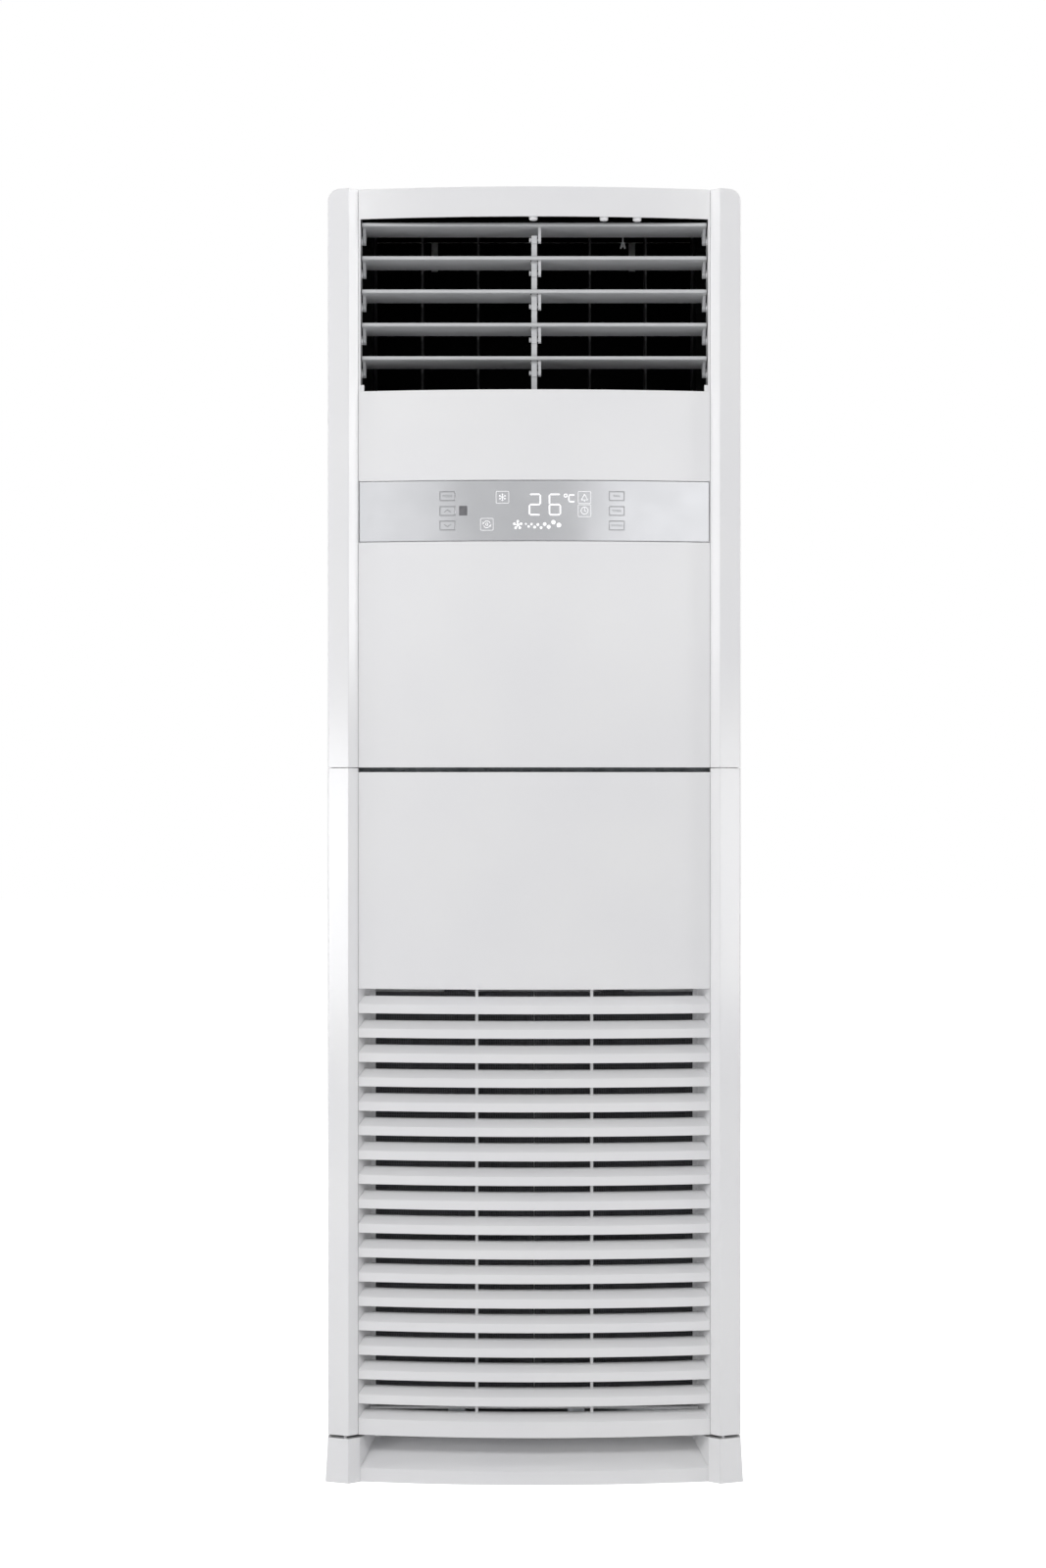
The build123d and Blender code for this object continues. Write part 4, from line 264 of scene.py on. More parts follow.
def bright_zinc():
    # Bright zinc plate on cold-headed steel: silvery, with faint flow marks.
    material, tree, shader, place = start_material("bright_zinc_plate", "C4C6CA", 0.26, Metallic=1.0)
    flow = add_node(tree, "ShaderNodeTexNoise", {"Vector": place, "Scale": repeats(2.5), "Detail": 3.0})
    colour = add_node(tree, "ShaderNodeValToRGB", {"Fac": flow.outputs["Fac"]},
                      stops=[(0.3, "B9BBC0"), (0.7, "CFD1D4")])
    bump = add_node(tree, "ShaderNodeBump", {"Height": flow.outputs["Fac"], "Distance": 0.02 * MM})
    set_inputs(tree, shader, {"Base Color": colour.outputs["Color"], "Normal": bump.outputs["Normal"]})
    return material


def fin_stock():
    # Aluminium foil with a pale blue water-shedding coat, faintly rolled.
    material, tree, shader, place = start_material("blue_fin_stock", "A8C2D0", 0.35, Metallic=0.85)
    rolled = add_node(tree, "ShaderNodeMapping", {"Vector": place, "Scale": (1.0, 1.0, 0.08)})
    streak = add_node(tree, "ShaderNodeTexNoise", {"Vector": rolled.outputs["Vector"],
                                                   "Scale": repeats(1.5), "Detail": 3.0})
    colour = add_node(tree, "ShaderNodeValToRGB", {"Fac": streak.outputs["Fac"]},
                      stops=[(0.3, "9FBAC9"), (0.7, "B5CCD8")])
    bump = add_node(tree, "ShaderNodeBump", {"Height": streak.outputs["Fac"], "Distance": 0.02 * MM})
    set_inputs(tree, shader, {"Base Color": colour.outputs["Color"], "Normal": bump.outputs["Normal"]})
    return material


def drawn_copper():
    # Drawn copper tube: warm and slightly dulled by handling.
    material, tree, shader, place = start_material("drawn_copper", "C27A55", 0.3, Metallic=1.0)
    tarnish = add_node(tree, "ShaderNodeTexNoise", {"Vector": place, "Scale": repeats(18.0), "Detail": 4.0})
    colour = add_node(tree, "ShaderNodeValToRGB", {"Fac": tarnish.outputs["Fac"]},
                      stops=[(0.35, "AE6443"), (0.65, "CC8862")])
    rough = add_node(tree, "ShaderNodeMapRange", {"Value": tarnish.outputs["Fac"], "To Min": 0.4,
                                                  "To Max": 0.22})
    set_inputs(tree, shader, {"Base Color": colour.outputs["Color"], "Roughness": rough.outputs["Result"]})
    return material


def turned_brass():
    # Turned brass: fine rings left by the tool, about 0.4 mm apart and drawn at 0.8 mm so that they show.
    material, tree, shader, place = start_material("turned_brass", "C9A45A", 0.28, Metallic=1.0)
    rings = add_node(tree, "ShaderNodeTexWave", {"Vector": place, "Scale": bands(0.8), "Distortion": 0.3},
                     bands_direction="Y")
    colour = add_node(tree, "ShaderNodeValToRGB", {"Fac": rings.outputs["Fac"]},
                      stops=[(0.0, "BD974F"), (1.0, "D2AF68")])
    bump = add_node(tree, "ShaderNodeBump", {"Height": rings.outputs["Fac"], "Distance": 0.02 * MM})
    set_inputs(tree, shader, {"Base Color": colour.outputs["Color"], "Normal": bump.outputs["Normal"]})
    return material


def moulded_rubber():
    # Moulded black rubber: dull, with a grey bloom.
    material, tree, shader, place = start_material("moulded_rubber", "1B1B1C", 0.75)
    bloom = add_node(tree, "ShaderNodeTexNoise", {"Vector": place, "Scale": repeats(8.0), "Detail": 4.0})
    colour = add_node(tree, "ShaderNodeValToRGB", {"Fac": bloom.outputs["Fac"]},
                      stops=[(0.35, "161617"), (0.7, "262627")])
    grain = add_node(tree, "ShaderNodeTexNoise", {"Vector": place, "Scale": repeats(0.7), "Detail": 3.0})
    bump = add_node(tree, "ShaderNodeBump", {"Height": grain.outputs["Fac"], "Distance": 0.04 * MM})
    set_inputs(tree, shader, {"Base Color": colour.outputs["Color"], "Normal": bump.outputs["Normal"]})
    return material


def solder_mask():
    # Glass-fibre board under green solder mask, with copper tracks that show through it.
    material, tree, shader, place = start_material("green_solder_mask", "1C5A33", 0.35, Coat_Weight=0.4)
    tracks = add_node(tree, "ShaderNodeTexVoronoi", {"Vector": place, "Scale": repeats(6.0)},
                      distance="MANHATTAN", feature="F1")
    colour = add_node(tree, "ShaderNodeValToRGB", {"Fac": tracks.outputs["Distance"]},
                      stops=[(0.30, "2F7A48"), (0.34, "1A5230")])
    bump = add_node(tree, "ShaderNodeBump", {"Height": tracks.outputs["Distance"], "Distance": 0.05 * MM})
    set_inputs(tree, shader, {"Base Color": colour.outputs["Color"], "Normal": bump.outputs["Normal"]})
    return material


def filter_net():
    # Woven polypropylene net: threads 0.8 mm apart, drawn at 2.4 mm so that the weave shows.
    material, tree, shader, place = start_material("woven_filter_net", "2C2D30", 0.6)
    across = add_node(tree, "ShaderNodeTexWave", {"Vector": place, "Scale": bands(2.4)}, bands_direction="X")
    along = add_node(tree, "ShaderNodeTexWave", {"Vector": place, "Scale": bands(2.4)}, bands_direction="Z")
    threads = add_node(tree, "ShaderNodeMath", {0: across.outputs["Fac"], 1: along.outputs["Fac"]},
                       operation="MAXIMUM")
    colour = add_node(tree, "ShaderNodeValToRGB", {"Fac": threads.outputs[0]},
                      stops=[(0.55, "0B0B0C"), (0.9, "4A4B4F")])
    bump = add_node(tree, "ShaderNodeBump", {"Height": threads.outputs[0], "Distance": 0.3 * MM})
    set_inputs(tree, shader, {"Base Color": colour.outputs["Color"], "Normal": bump.outputs["Normal"]})
    return material


def glass_filled_nylon():
    # Glass-filled nylon of the wheel and inlet: mid grey, with short fibres just under the skin.
    material, tree, shader, place = start_material("glass_filled_nylon", "5A5C60", 0.5)
    fibres = add_node(tree, "ShaderNodeTexNoise", {"Vector": place, "Scale": repeats(2.0), "Detail": 5.0})
    colour = add_node(tree, "ShaderNodeValToRGB", {"Fac": fibres.outputs["Fac"]},
                      stops=[(0.35, "52545A"), (0.7, "66686D")])
    bump = add_node(tree, "ShaderNodeBump", {"Height": fibres.outputs["Fac"], "Distance": 0.03 * MM})
    set_inputs(tree, shader, {"Base Color": colour.outputs["Color"], "Normal": bump.outputs["Normal"]})
    return material


def motor_enamel():
    # Stoved enamel on the motor's can: dark grey and fairly glossy.
    material, tree, shader, place = start_material("stoved_motor_enamel", "2E3034", 0.32)
    flow = add_node(tree, "ShaderNodeTexNoise", {"Vector": place, "Scale": repeats(9.0), "Detail": 2.0})
    colour = add_node(tree, "ShaderNodeValToRGB", {"Fac": flow.outputs["Fac"]},
                      stops=[(0.35, "292B2F"), (0.7, "37393D")])
    bump = add_node(tree, "ShaderNodeBump", {"Height": flow.outputs["Fac"], "Distance": 0.05 * MM})
    set_inputs(tree, shader, {"Base Color": colour.outputs["Color"], "Normal": bump.outputs["Normal"]})
    return material


def bead_foam():
    # Expanded polystyrene: white beads about 3 mm across, pressed together.
    material, tree, shader, place = start_material("polystyrene_bead_foam", "E4E4E0", 0.7)
    beads = add_node(tree, "ShaderNodeTexVoronoi", {"Vector": place, "Scale": repeats(3.0)},
                     feature="DISTANCE_TO_EDGE")
    colour = add_node(tree, "ShaderNodeValToRGB", {"Fac": beads.outputs["Distance"]},
                      stops=[(0.0, "C9C9C4"), (0.12, "E8E8E5")])
    bump = add_node(tree, "ShaderNodeBump", {"Height": beads.outputs["Distance"], "Distance": 0.3 * MM})
    set_inputs(tree, shader, {"Base Color": colour.outputs["Color"], "Normal": bump.outputs["Normal"]})
    return material


def display_light():
    # White light-emitting diodes behind a printed mask: a cool even white that glows slightly.
    material, tree, shader, place = start_material("white_led_display", "FFFFFF", 0.4,
                                                   Emission_Strength=0.35)
    cells = add_node(tree, "ShaderNodeTexNoise", {"Vector": place, "Scale": repeats(3.0), "Detail": 1.0})
    colour = add_node(tree, "ShaderNodeValToRGB", {"Fac": cells.outputs["Fac"]},
                      stops=[(0.3, "FAFBFF"), (0.7, "FFFFFF")])
    set_inputs(tree, shader, {"Base Color": colour.outputs["Color"], "Emission Color": linear("FFFFFF")})
    return material


def legend_ink():
    # Screen-printed grey ink: flat and matt, a little uneven where the mesh laid it down.
    material, tree, shader, place = start_material("screen_printed_grey_ink", "8A8B8E", 0.55)
    mesh = add_node(tree, "ShaderNodeTexNoise", {"Vector": place, "Scale": repeats(0.5), "Detail": 2.0})
    colour = add_node(tree, "ShaderNodeValToRGB", {"Fac": mesh.outputs["Fac"]},
                      stops=[(0.3, "85868A"), (0.7, "939497")])
    set_inputs(tree, shader, {"Base Color": colour.outputs["Color"]})
    return material


def smoked_acrylic():
    # Smoked acrylic of the receiver's window: dark, clear and glossy.
    material, tree, shader, place = start_material("smoked_acrylic", "6E6E70", 0.12, Coat_Weight=0.3)
    depth = add_node(tree, "ShaderNodeTexNoise", {"Vector": place, "Scale": repeats(5.0), "Detail": 1.0})
    colour = add_node(tree, "ShaderNodeValToRGB", {"Fac": depth.outputs["Fac"]},
                      stops=[(0.3, "68686B"), (0.7, "757578")])
    set_inputs(tree, shader, {"Base Color": colour.outputs["Color"]})
    return material


def black_foam():
    # Closed-cell EVA foam that lines the air path: black and dull. Its colour is set darker than real EVA
    # foam, as painted shade for the deep shade inside the outlet. Its cells are about 1 mm across and drawn
    # at 1.6 mm so that they show.
    material, tree, shader, place = start_material("black_eva_foam_with_painted_shade", "060607", 0.95)
    cells = add_node(tree, "ShaderNodeTexVoronoi", {"Vector": place, "Scale": repeats(1.6)})
    # Both stops lie below the foam's own black: painted shade for the inside of the air path.
    colour = add_node(tree, "ShaderNodeValToRGB", {"Fac": cells.outputs["Distance"]},
                      stops=[(0.1, "030304"), (0.6, "0A0A0B")])
    bump = add_node(tree, "ShaderNodeBump", {"Height": cells.outputs["Distance"], "Distance": 0.4 * MM})
    set_inputs(tree, shader, {"Base Color": colour.outputs["Color"], "Normal": bump.outputs["Normal"],
                              "Specular IOR Level": 0.1})
    return material


def dress_frame():
    """Each CAD node takes the finish of its material slot."""
    slot_of = {row["node"]: row["material_slot"] for row in frame["record"]["subparts"]}
    for name, piece in nodes.items():
        piece.data.materials.clear()
        piece.data.materials.append(finishes[slot_of[name]])


# ---------------------------------------------------------------- modelling helpers
BOW = 22.0               # the middle of the front stands this far ahead of its edges
face_low, face_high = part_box("upper_front_panel")
FRONT_Y = face_low[1]    # metres, as is the radius
BOW_RADIUS = (face_high[0] ** 2 + (BOW * MM) ** 2) / (2 * BOW * MM)


def bow_y(x):
    """Y of the cabinet's bowed front at x, both in metres."""
    return FRONT_Y + BOW_RADIUS - math.sqrt(BOW_RADIUS ** 2 - x ** 2)


def select_only(*pieces):
    bpy.ops.object.select_all(action="DESELECT")
    for piece in pieces:
        piece.select_set(True)
    bpy.context.view_layer.objects.active = pieces[0]


def joined(pieces):
    """All pieces in one mesh, with their places in it."""
    select_only(*pieces)
    if len(pieces) > 1:
        bpy.ops.object.join()
    bpy.ops.object.transform_apply(location=True, rotation=True, scale=True)
    return bpy.context.object


def repeated(pattern, moves):
    """A copy of the pattern with its own mesh at each move, in metres; the pattern itself goes."""
    copies = []
    for move in moves:
        copy = pattern.copy()
        copy.data = pattern.data.copy()
        copy.data.transform(Matrix.Translation(move))
        scene.collection.objects.link(copy)
        copies.append(copy)
    bpy.data.objects.remove(pattern)
    return copies


def apply_modifier(piece, kind, **settings):
    select_only(piece)
    modifier = piece.modifiers.new(kind.lower(), kind)
    for name, value in settings.items():
        setattr(modifier, name, value)
    bpy.ops.object.modifier_apply(modifier=modifier.name)


def block(centre, size, rotation=(0.0, 0.0, 0.0)):
    """Rectangular block, in metres."""
    bpy.ops.mesh.primitive_cube_add(size=1.0, location=centre, rotation=rotation)
    piece = bpy.context.object
    piece.scale = size
    return joined([piece])


def round_edges(piece, chosen, offset, segments):
    """Rounds the edges whose two ends `chosen` picks."""
    select_only(piece)
    bpy.ops.object.mode_set(mode="EDIT")
    bpy.ops.mesh.select_mode(type="EDGE")
    bpy.ops.mesh.select_all(action="DESELECT")
    bpy.ops.object.mode_set(mode="OBJECT")
    for edge in piece.data.edges:
        edge.select = chosen(*(piece.data.vertices[v].co for v in edge.vertices))
    bpy.ops.object.mode_set(mode="EDIT")
    bpy.ops.mesh.bevel(offset=offset * MM, segments=segments, affect="EDGES")
    bpy.ops.object.mode_set(mode="OBJECT")


def smooth_to(piece, degrees):
    """Smooth shading over every edge that bends less than this."""
    select_only(piece)
    bpy.ops.object.shade_smooth_by_angle(angle=math.radians(degrees))


def settled(piece, name, body, finish):
    """Gives a finished piece its name, its finish and the body that it rides on."""
    piece.name = name
    piece.data.name = name
    piece.data.materials.clear()
    piece.data.materials.append(finishes[finish])
    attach(piece, body)


# ---------------------------------------------------------------- drawing in the plane of the front
CAP_TO_TYPE = 1.4        # size of the type over the height of a capital
PRINT_T = 0.05
PRINT_LIFT = 0.01        # clear of the face that it is printed on


def bar(start, end, width):
    """Flat stroke of a drawing, between two (x, z) points in millimetres."""
    (x0, z0), (x1, z1) = start, end
    length = math.hypot(x1 - x0, z1 - z0)
    middle = ((x0 + x1) / 2 * MM, 0.0, (z0 + z1) / 2 * MM)
    bpy.ops.mesh.primitive_plane_add(size=1.0, location=middle,
                                     rotation=(math.pi / 2, -math.atan2(z1 - z0, x1 - x0), 0.0))
    stroke = bpy.context.object
    stroke.scale = (length * MM, width * MM, 1.0)
    return stroke


def shape_corners(drawing, reach, segments):
    """Clips the corners of a flat piece with one segment, and rounds them with more."""
    piece = joined([drawing])
    bpy.ops.object.mode_set(mode="EDIT")
    bpy.ops.mesh.select_all(action="SELECT")
    bpy.ops.mesh.bevel(offset=reach * MM, segments=segments, affect="VERTICES")
    bpy.ops.object.mode_set(mode="OBJECT")
    return piece


def keep_rim(drawing, line):
    """Leaves a line of this width round the edge of a flat piece."""
    piece = joined([drawing])
    bpy.ops.object.mode_set(mode="EDIT")
    bpy.ops.mesh.select_all(action="SELECT")
    bpy.ops.mesh.inset(thickness=line * MM, depth=0.0)
    bpy.ops.mesh.delete(type="FACE")
    bpy.ops.object.mode_set(mode="OBJECT")
    return piece


def frame_box(centre, width, height, line, corner):
    """Outlined box with rounded corners."""
    x, z = centre
    plate = shape_corners(bar((x - width / 2, z), (x + width / 2, z), height), corner, 4)
    return keep_rim(plate, line)


def dot(centre, across, sides=20):
    x, z = centre
    bpy.ops.mesh.primitive_circle_add(vertices=sides, radius=across / 2 * MM, fill_type="NGON",
                                      location=(x * MM, 0.0, z * MM), rotation=(math.pi / 2, 0.0, 0.0))
    return bpy.context.object


def ring(centre, across, line):
    return keep_rim(dot(centre, across), line)


def words(text, centre, height):
    """Plain lettering as a flat mesh; the height is that of a capital."""
    x, z = centre
    bpy.ops.object.text_add(location=(x * MM, 0.0, z * MM), rotation=(math.pi / 2, 0.0, 0.0))
    lettering = bpy.context.object
    lettering.data.body = text
    lettering.data.size = height * CAP_TO_TYPE * MM
    lettering.data.align_x = "CENTER"
    lettering.data.align_y = "CENTER"
    lettering.data.resolution_u = 3
    select_only(lettering)
    bpy.ops.object.convert(target="MESH")
    return bpy.context.object


def turned(x, z, angle, radius):
    """Point at an angle and radius round (x, z)."""
    return (x + radius * math.cos(math.radians(angle)), z + radius * math.sin(math.radians(angle)))


def on_lens(drawing, name, body, finish):
    """Lays a flat drawing on the bow of the display and gives it the thickness of its print."""
    piece = joined(drawing)
    for vertex in piece.data.vertices:
        vertex.co.y = bow_y(vertex.co.x) - PRINT_LIFT * MM
    apply_modifier(piece, "SOLIDIFY", thickness=PRINT_T * MM, offset=1.0)
    settled(piece, name, body, finish)


# ---------------------------------------------------------------- display
DIGIT_W = 17.2
DIGIT_H = 30.5
DIGIT_Z = 1359.3
SEGMENT_W = 2.2
SEGMENT_GAP = 0.22       # between two segments, as a share of their width
SEGMENT_CLIP = 0.4       # off each corner, as a share of their width
TENS_X = 0.8
UNITS_X = 28.5
DEGREE_CENTRE = (43.3, 1371.8)
DEGREE_ACROSS = 5.4
LETTER_C_X = (48.0, 56.0)
LETTER_C_Z = (1363.4, 1372.6)
LETTER_C_LINE = 1.8

FAN_SIGN_CENTRE = (-23.0, 1331.1)
SPEED_DOTS = ((-11.7, 1332.5, 2.5), (-7.8, 1328.9, 3.4), (-3.9, 1332.1, 3.4), (0.4, 1328.0, 3.9),
              (4.9, 1331.5, 3.9), (9.4, 1327.3, 3.9), (14.4, 1332.2, 4.9), (19.9, 1328.4, 5.3),
              (26.4, 1334.9, 6.0), (34.0, 1330.9, 6.5))   # x, z and width; they grow with the speed

ICON_W = 18.0
ICON_H = 17.0
ICON_CORNER = 1.4
ICON_BORDER = 0.5
ICON_LINE = 0.7

RECEIVER_X = (-104.4, -93.0)
RECEIVER_Z = 1351.1
RECEIVER_H = 13.4
RECEIVER_CORNER = 0.9


def led_bar(start, end, width):
    """Stroke with the clipped corners of a display segment."""
    return shape_corners(bar(start, end, width), width * SEGMENT_CLIP, 1)


def digit(centre_x, lit):
    """Seven-segment figure: a top, b and c right, d bottom, e and f left, g middle."""
    reach_x = (DIGIT_W - SEGMENT_W) / 2
    reach_z = (DIGIT_H - SEGMENT_W) / 2
    gap = SEGMENT_W * SEGMENT_GAP
    ends = {
        "a": ((-reach_x + gap, reach_z), (reach_x - gap, reach_z)),
        "b": ((reach_x, gap), (reach_x, reach_z - gap)),
        "c": ((reach_x, -reach_z + gap), (reach_x, -gap)),
        "d": ((-reach_x + gap, -reach_z), (reach_x - gap, -reach_z)),
        "e": ((-reach_x, -reach_z + gap), (-reach_x, -gap)),
        "f": ((-reach_x, gap), (-reach_x, reach_z - gap)),
        "g": ((-reach_x + gap, 0.0), (reach_x - gap, 0.0)),
    }
    strokes = []
    for segment in lit:
        (x0, z0), (x1, z1) = ends[segment]
        strokes.append(led_bar((centre_x + x0, DIGIT_Z + z0), (centre_x + x1, DIGIT_Z + z1), SEGMENT_W))
    return strokes


def celsius_sign():
    """Degree ring, and a C of three strokes."""
    left, right = LETTER_C_X
    low, high = LETTER_C_Z
    back = left - 0.1
    return [ring(DEGREE_CENTRE, DEGREE_ACROSS, 1.3),
            led_bar((left, high), (right, high), LETTER_C_LINE),
            led_bar((left, low), (right, low), LETTER_C_LINE),
            led_bar((back, low + 0.6), (back, high - 0.6), LETTER_C_LINE)]


def snowflake(x, z):
    arm, knot_at, twig = 5.4, 3.2, 2.0
    strokes = []
    for angle in range(30, 390, 60):
        strokes.append(bar((x, z), turned(x, z, angle, arm), 0.6))
        knot = turned(x, z, angle, knot_at)
        for lean in (-45, 45):
            strokes.append(bar(knot, turned(*knot, angle + lean, twig), 0.5))
    return strokes


def air_swirl(x, z):
    """Two hooked arrows that chase each other round a ring."""
    radius, barb, turn = 4.8, 2.2, 28
    strokes = []
    for start in (20, 200):
        for step in range(5):
            angle = start + step * turn
            near, far = (turned(x, z, at, radius) for at in (angle, angle + turn + 2))
            strokes.append(bar(near, far, ICON_LINE))
        heading = start + 5 * turn + 2
        tip = turned(x, z, heading, radius)
        for lean in (-35, 55):
            strokes.append(bar(tip, turned(*tip, heading + lean, barb), ICON_LINE))
    strokes.append(ring((x, z), 4.0, ICON_LINE))
    return strokes


def bell(x, z):
    left, right, crown = (x - 4.4, z - 3.4), (x + 4.4, z - 3.4), (x, z + 4.6)
    return [bar(left, right, ICON_LINE), bar(left, crown, ICON_LINE), bar(right, crown, ICON_LINE),
            dot((x, z - 5.0), 1.4)]


def clock(x, z):
    return [ring((x, z), 10.4, ICON_LINE), bar((x, z), (x, z + 3.8), ICON_LINE),
            bar((x, z), (x + 2.6, z - 1.4), ICON_LINE)]


def fan_sign(x, z):
    """Hub and five blades, each a lobe on a leaning arm."""
    strokes = [dot((x, z), 2.0)]
    for angle in range(18, 378, 72):
        strokes.append(dot(turned(x, z, angle, 5.0), 3.6, 14))
        strokes.append(bar(turned(x, z, angle, 0.5), turned(x, z, angle + 8, 4.6), 1.3))
    return strokes


def display_figures():
    """All that is lit on the display: 26 degrees, the fan speed and four icons in boxes."""
    figures = digit(TENS_X, "abged") + digit(UNITS_X, "afgedc") + celsius_sign()
    speed = fan_sign(*FAN_SIGN_CENTRE) + [dot((x, z), across) for x, z, across in SPEED_DOTS]
    drawings = {"temperature_figures": figures, "fan_speed_dots": speed}
    icons = {"cooling_icon": (snowflake, (-44.2, 1369.5)), "air_swirl_icon": (air_swirl, (-65.8, 1332.0)),
             "reminder_icon": (bell, (69.6, 1369.3)), "timer_icon": (clock, (69.6, 1351.0))}
    for name, (draw, centre) in icons.items():
        drawings[name] = draw(*centre) + [frame_box(centre, ICON_W, ICON_H, ICON_BORDER, ICON_CORNER)]
    for name, drawing in drawings.items():
        on_lens(drawing, name, "cabinet", "display_light")


def receiver_window():
    """Dark pane over the remote control's receiver."""
    left, right = RECEIVER_X
    pane = shape_corners(bar((left, RECEIVER_Z), (right, RECEIVER_Z), RECEIVER_H), RECEIVER_CORNER, 4)
    on_lens([pane], "receiver_window", "cabinet", "smoked_acrylic")


# ---------------------------------------------------------------- keys
KEY_SIGNS = {"mode_key": "MODE", "warmer_key": "up", "cooler_key": "down", "fan_speed_key": "FAN",
             "timer_key": "TIMER", "swing_key": "SWING"}
LEGEND_MARGIN = 0.4      # from the key's edge to the printed outline
LEGEND_LINE = 0.5
LEGEND_CORNER = 0.9
LEGEND_CAP_H = 3.4
ARROW_X = 4.6
ARROW_RISE = 1.6
ARROW_LINE = 0.8


def arrow(x, z, rise):
    """Open arrowhead, which points down where the rise is negative."""
    tip = (x, z + rise)
    return [bar((x - ARROW_X, z - rise), tip, ARROW_LINE), bar(tip, (x + ARROW_X, z - rise), ARROW_LINE)]


def key_legends():
    """Printed outline and sign on each key; the signs are plain words and arrows."""
    for key, sign in KEY_SIGNS.items():
        low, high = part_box(key)
        x, z = ((low[axis] + high[axis]) / 2 / MM for axis in (0, 2))
        width, height = ((high[axis] - low[axis]) / MM - 2 * LEGEND_MARGIN for axis in (0, 2))
        drawing = [frame_box((x, z), width, height, LEGEND_LINE, LEGEND_CORNER)]
        if sign in ("up", "down"):
            drawing += arrow(x, z, ARROW_RISE if sign == "up" else -ARROW_RISE)
        else:
            drawing.append(words(sign, (x, z), LEGEND_CAP_H))
        on_lens(drawing, key + "_legend", key, "legend_ink")


# ---------------------------------------------------------------- outlet
STOP_X = (-1.4, 96.7, 143.0)
STOP_R = 6.0
STOP_L = 15.0
STOP_FOOT = 1754.5       # under the outlet's upper edge
STOP_ROUND = 2.6
STOP_SETBACK = 8.6       # from the bowed front to its axis

CLIP_X = 126.6
CLIP_Y = -86.0
CLIP_T = 3.0
CLIP_FOOT = 1735.0
CLIP_ARM_H = 9.0
DUCT_CEILING = 1770.0

SEAL_X = 228.0
SEAL_W = 3.6
SEAL_T = 2.0
SEAL_Z = (1525.0, 1760.0)

SHEET = 1.2              # sheet steel of the cabinet
FOAM_T = 3.1
SIDE_FOAM_T = 3.0
FOAM_CLEAR = 0.1         # between the foam and the steel
FOAM_FOOT = 1025.0
REAR_FOAM_X = 254.0
REAR_FOAM_STEP = 1751.0  # over this height the rear foam goes round the bracket holes
REAR_FOAM_TOP = 1795.0
BRACKET_HOLE_X = (145.0, 155.0)
TOP_FOAM_X = 262.0
TOP_FOAM_Y = (-30.0, 190.0)
SIDE_FOAM_Y = (-30.0, 175.0)
SIDE_FOAM_TOP = 1772.0


def outlet_stops():
    """Three moulded stops behind the face, that show under the outlet's upper edge."""
    bpy.ops.mesh.primitive_cylinder_add(vertices=24, radius=STOP_R * MM, depth=STOP_L * MM,
                                        location=(0.0, 0.0, (STOP_FOOT + STOP_L / 2) * MM))
    pattern = joined([bpy.context.object])
    rim = (STOP_FOOT + 0.2) * MM
    round_edges(pattern, lambda a, b: a.z < rim and b.z < rim, STOP_ROUND, 5)
    smooth_to(pattern, 40)
    moves = [(x * MM, bow_y(x * MM) + STOP_SETBACK * MM, 0.0) for x in STOP_X]
    for number, stop in enumerate(repeated(pattern, moves), 1):
        settled(stop, f"outlet_stop_{number}", "cabinet", "shell_gloss")


def sensor_clip():
    """Air sensor in its clip, hung from the duct's ceiling between two vanes."""
    foot_x, neck_x, sensor_x, sensor_z = 3.0, 0.8, 2.0, CLIP_FOOT + 3.5
    arms = [bar((CLIP_X + side * foot_x, CLIP_FOOT), (CLIP_X + side * neck_x, CLIP_FOOT + CLIP_ARM_H), 2.4)
            for side in (-1, 1)]
    sensor = bar((CLIP_X - sensor_x, sensor_z), (CLIP_X + sensor_x, sensor_z), 2.0)
    stalk = bar((CLIP_X, CLIP_FOOT + CLIP_ARM_H - 1.0), (CLIP_X, DUCT_CEILING), 1.6)
    clip = joined([*arms, sensor, stalk])
    apply_modifier(clip, "SOLIDIFY", thickness=CLIP_T * MM, offset=0.0)
    for vertex in clip.data.vertices:
        vertex.co.y += CLIP_Y * MM
    settled(clip, "air_sensor_clip", "cabinet", "louvre_plastic")


def foam_sheet(low, high, edge=0.8):
    """Sheet of foam with pressed edges, between two corners in millimetres."""
    sheet = block([(a + b) / 2 * MM for a, b in zip(low, high)], [(b - a) * MM for a, b in zip(low, high)])
    apply_modifier(sheet, "BEVEL", width=edge * MM, segments=2)
    return sheet


def duct_seals():
    """Foam strips stuck to the front edges of the duct's side walls."""
    duct_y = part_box("outlet_duct")[0][1] / MM
    foot, top = SEAL_Z
    strip = foam_sheet((-SEAL_W / 2, duct_y - SEAL_T, foot), (SEAL_W / 2, duct_y, top), 0.6)
    strips = repeated(strip, [(side * SEAL_X * MM, 0.0, 0.0) for side in (1, -1)])
    for name, strip in zip(("right", "left"), strips):
        settled(strip, f"duct_seal_{name}", "cabinet", "black_foam")


def rear_foam():
    """Foam on the rear panel, in four sheets that leave its bracket holes free."""
    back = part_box("rear_panel")[0][1] / MM - FOAM_CLEAR
    near, far = BRACKET_HOLE_X
    areas = ((-REAR_FOAM_X, REAR_FOAM_X, FOAM_FOOT, REAR_FOAM_STEP + 1.0),
             (-near, near, REAR_FOAM_STEP, REAR_FOAM_TOP),
             (far, REAR_FOAM_X, REAR_FOAM_STEP, REAR_FOAM_TOP),
             (-REAR_FOAM_X, -far, REAR_FOAM_STEP, REAR_FOAM_TOP))
    sheets = [foam_sheet((x0, back - FOAM_T, z0), (x1, back, z1)) for x0, x1, z0, z1 in areas]
    settled(joined(sheets), "rear_foam", "cabinet", "black_foam")


